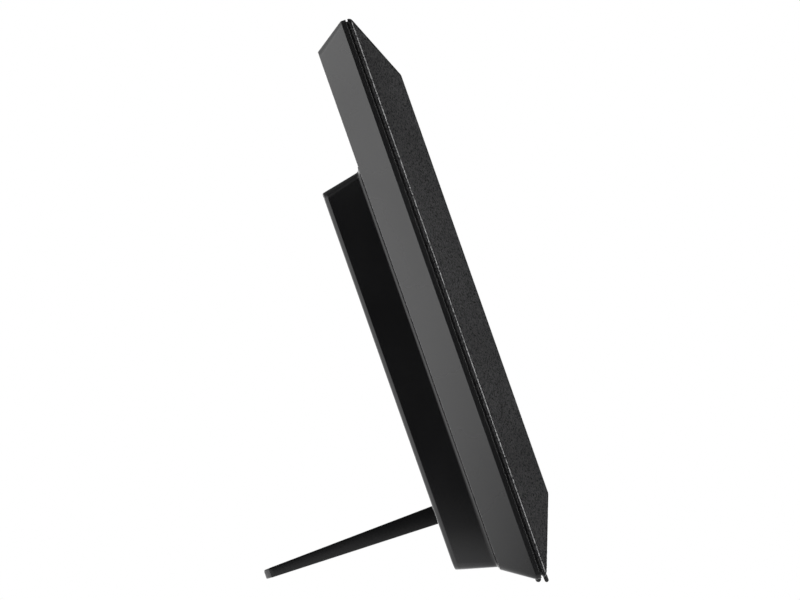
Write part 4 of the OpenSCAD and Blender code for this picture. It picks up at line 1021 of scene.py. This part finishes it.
# The fifth column of the loops is the flat upper face, between the arcs of its two edges.
top_border = np.concatenate([leg[pocket_row, [4, 5]], leg[pocket_row + 1, [5, 4]]])
leg_patches = [grid(leg, leg_wear, skip=[(pocket_row, pocket_row + 1, 4, 5)]), panel(leg[-1]),
               panel(top_border, [points[0] for points, _ in pockets], axes=(0, 1))]
leg_patches += [grid(points, wear) for points, wear in pockets]
leg_patches += [panel(points[-1], axes=(0, 1)) for points, _ in pockets]
build("leg_body", leg_patches, "leg", leg_plastic, ["stand_leg"])

pad_turn = np.linspace(corner_turn[-1], math.pi / 2, 9)
pad_y = tip_y - leg_corner + leg_corner * np.sin(pad_turn)
pad_w, pad_h, pad_c = leg_sections(pad_y, 0.04)
pad_end = np.clip((pad_y - tip_y + pad_round) / pad_round, 0, 1)[:, None]
pad_h = pad_h - pad_round * (1 - np.sqrt(1 - pad_end ** 2))
pad, pad_wear = bar(pad_y, pad_w, pad_h, np.minimum(pad_c, pad_h * 0.9))
pad = [grid(pad, pad_wear), panel(pad[0]), panel(pad[-1])]
build("leg_pad", pad, "leg", rubber, ["stand_pad"])
pin_steel = metal("pin_steel", (0.55, 0.55, 0.56), 0.25, stretch=(1, 1, 1), scale=1600.0)
finish(pin_steel, "hinge_pin")
finish(socket_nylon, "hinge_washers")


# ---- Feet ----------------------------------------------------------------------------------------
# Black rubber strips with round undersides, pressed into slots in the bottom edges of both shells. The
# pair under the bezel is taller, so all four touch the table when the frame leans back.

def strips(name, node, middle_y, radius):
    """Two strips along x. A section is a half circle under two upright sides, and it shrinks at each
    end by sqrt(1 - e^2), so the ends are round."""
    lo, hi = upright_box(node)
    length = 30.0
    end = np.sin(np.linspace(0, math.pi / 2, 7))
    e = np.concatenate([end[::-1], [0.0, 0.0], end])
    scale = np.sqrt(np.clip(1 - e ** 2, 0.0, None))[:, None]
    along = np.concatenate([-length / 2 + radius * (1 - end[::-1]), [-length / 4, length / 4],
                            length / 2 - radius * (1 - end)])
    under = np.linspace(0, math.pi, 13)
    across = np.concatenate([[1.0], np.cos(under), [-1.0]])
    drop = np.concatenate([[0.0], np.sin(under), [0.0]])
    stem = -lo[2] - radius
    inside = 0.6
    height = np.where(np.arange(15) % 14 == 0, inside, -stem - radius * drop * scale)
    y = middle_y + radius * across * np.maximum(scale, 0.02)
    patches = []
    for x in (lo[0] + length / 2, hi[0] - length / 2):
        x_grid = np.broadcast_to((x + along)[:, None], y.shape)
        points = np.stack([x_grid, y, height], -1)
        patches += [grid(points), panel(points[0], axes=(1, 2)), panel(points[-1], axes=(1, 2))]
    build(name, patches, "case", rubber, [node])


strips("rear_foot_strips", "rear_feet", 1.4, 0.83)
strips("front_foot_strips", "front_feet", -0.9, 0.62)


# ---- Floor, lights and camera --------------------------------------------------------------------
# A plain pale table in a plain soft studio: bright behind the frame, a broad soft light high in front,
# a weaker one beside the camera, and dim elsewhere. The camera stands level with the frame, at its side.

behind_glow, side_glow, front_glow, above_glow = 2.85, 0.04, 6.8, 0.12
near_glow = 1.4
front_aim = (-0.09, -0.94, 0.33)
table_r = 2.2


def glow_behind(tree, part, low, high, share_y=1.0):
    """Share of the light from behind at a place or in a direction: it grows with x and a share of y."""
    return remap(tree, maths(tree, "ADD", part["X"], maths(tree, "MULTIPLY", part["Y"], share_y)), low, high)


def white_to_camera(tree, kind, plain):
    """A shader that is white to the camera and something else to all other rays."""
    white = add(tree, kind, {"Color": (1, 1, 1, 1), "Strength": 1.0})
    seen = add(tree, "LightPath").outputs["Is Camera Ray"]
    return add(tree, "MixShader", {0: seen, 1: plain.outputs[0], 2: white.outputs[0]}).outputs[0]


def studio_world():
    """White to the camera. To everything else, a room that is bright behind and low down, has one broad
    soft light high in front and a weaker glow in front of the camera's side, and is dim elsewhere."""
    world = bpy.data.worlds.new("studio")
    bpy.context.scene.world = world
    world.use_nodes = True
    tree = world.node_tree
    tree.nodes.clear()
    place = add(tree, "TexCoord").outputs["Generated"]
    part = add(tree, "SeparateXYZ", {"Vector": place}).outputs
    low = remap(tree, part["Z"], -0.1, 0.35, 1.0, 0.12)
    back = times(tree, low, remap(tree, part["Y"], 0.2, 0.7))
    behind = times(tree, glow_behind(tree, part, -0.38, 0.2), back)
    facing = add(tree, "VectorMath", {0: place, 1: front_aim}, operation="DOT_PRODUCT").outputs["Value"]
    front = remap(tree, facing, 0.93, 0.985, 0.0, front_glow)
    above = remap(tree, part["Z"], 0.3, 1.0, side_glow, above_glow)
    beside = remap(tree, part["X"], -0.75, -0.95)
    near = times(tree, remap(tree, part["Y"], -0.30, -0.12, near_glow, 0.0), beside)
    bright = maths(tree, "ADD", times(tree, behind, behind_glow), front)
    level = maths(tree, "ADD", bright, maths(tree, "ADD", above, near))
    room = add(tree, "Background", {"Color": (1, 1, 1, 1), "Strength": level})
    add(tree, "OutputWorld", {"Surface": white_to_camera(tree, "Background", room)})


def table_material():
    """A matt table that is pale to the camera and glows behind the frame."""
    material, tree, shader = start_material("table_white")
    shader.inputs["Base Color"].default_value = (0.2, 0.2, 0.2, 1)
    shader.inputs["Roughness"].default_value = 0.7
    place = add(tree, "TexCoord").outputs["Object"]
    feed(tree, shader, {"Normal": bump(tree, noise(tree, 30.0, 3.0), 0.02)})
    part = add(tree, "SeparateXYZ", {"Vector": place}).outputs
    strength = times(tree, glow_behind(tree, part, -0.15, -0.055, 0.6), behind_glow)
    glow = add(tree, "Emission", {"Color": (1, 1, 1, 1), "Strength": strength})
    lit = add(tree, "AddShader", {0: shader.outputs[0], 1: glow.outputs[0]})
    feed(tree, tree.nodes["Material Output"], {"Surface": white_to_camera(tree, "Emission", lit)})
    return material


def floor():
    """A round table top at height 0: (r cos a, r sin a, 0)."""
    angle = np.linspace(0, 2 * math.pi, 96, endpoint=False)
    rim_points = table_r * np.stack([np.cos(angle), np.sin(angle), 0 * angle], 1)
    mesh = bpy.data.meshes.new("table_top")
    mesh.from_pydata(rim_points.tolist(), [], [list(range(96))])
    table = put("table_top", mesh)
    mesh.materials.append(table_material())


def area_light(name, place, aim, size, power):
    """A square soft light at a place, turned to face its aim."""
    light = bpy.data.lights.new(name, "AREA")
    light.size, light.energy = size, power
    lamp = put(name, light)
    lamp.location = place
    lamp.rotation_euler = (Vector(aim) - Vector(place)).to_track_quat("-Z", "Y").to_euler()


studio_world()
floor()
area_light("front_fill", (0.6, -1.5, 1.2), (0, 0, 0.1), 1.2, 1.5)

distance, image_w, sensor = 8.0, 0.2392, 36.0
lens = sensor * (distance - half_w * MM) / image_w
view_centre = Vector((0.0, 0.0019, 0.0845))
camera = bpy.data.cameras.new("camera")
camera.lens, camera.sensor_width = lens, sensor
eye = put("camera", camera)
eye.location = view_centre - Vector((distance, 0, 0))
eye.rotation_euler = Vector((1, 0, 0)).to_track_quat("-Z", "Y").to_euler()
camera.clip_start, camera.clip_end = 0.1, 20.0
bpy.context.scene.camera = eye
bpy.context.scene.view_settings.view_transform = "Standard"
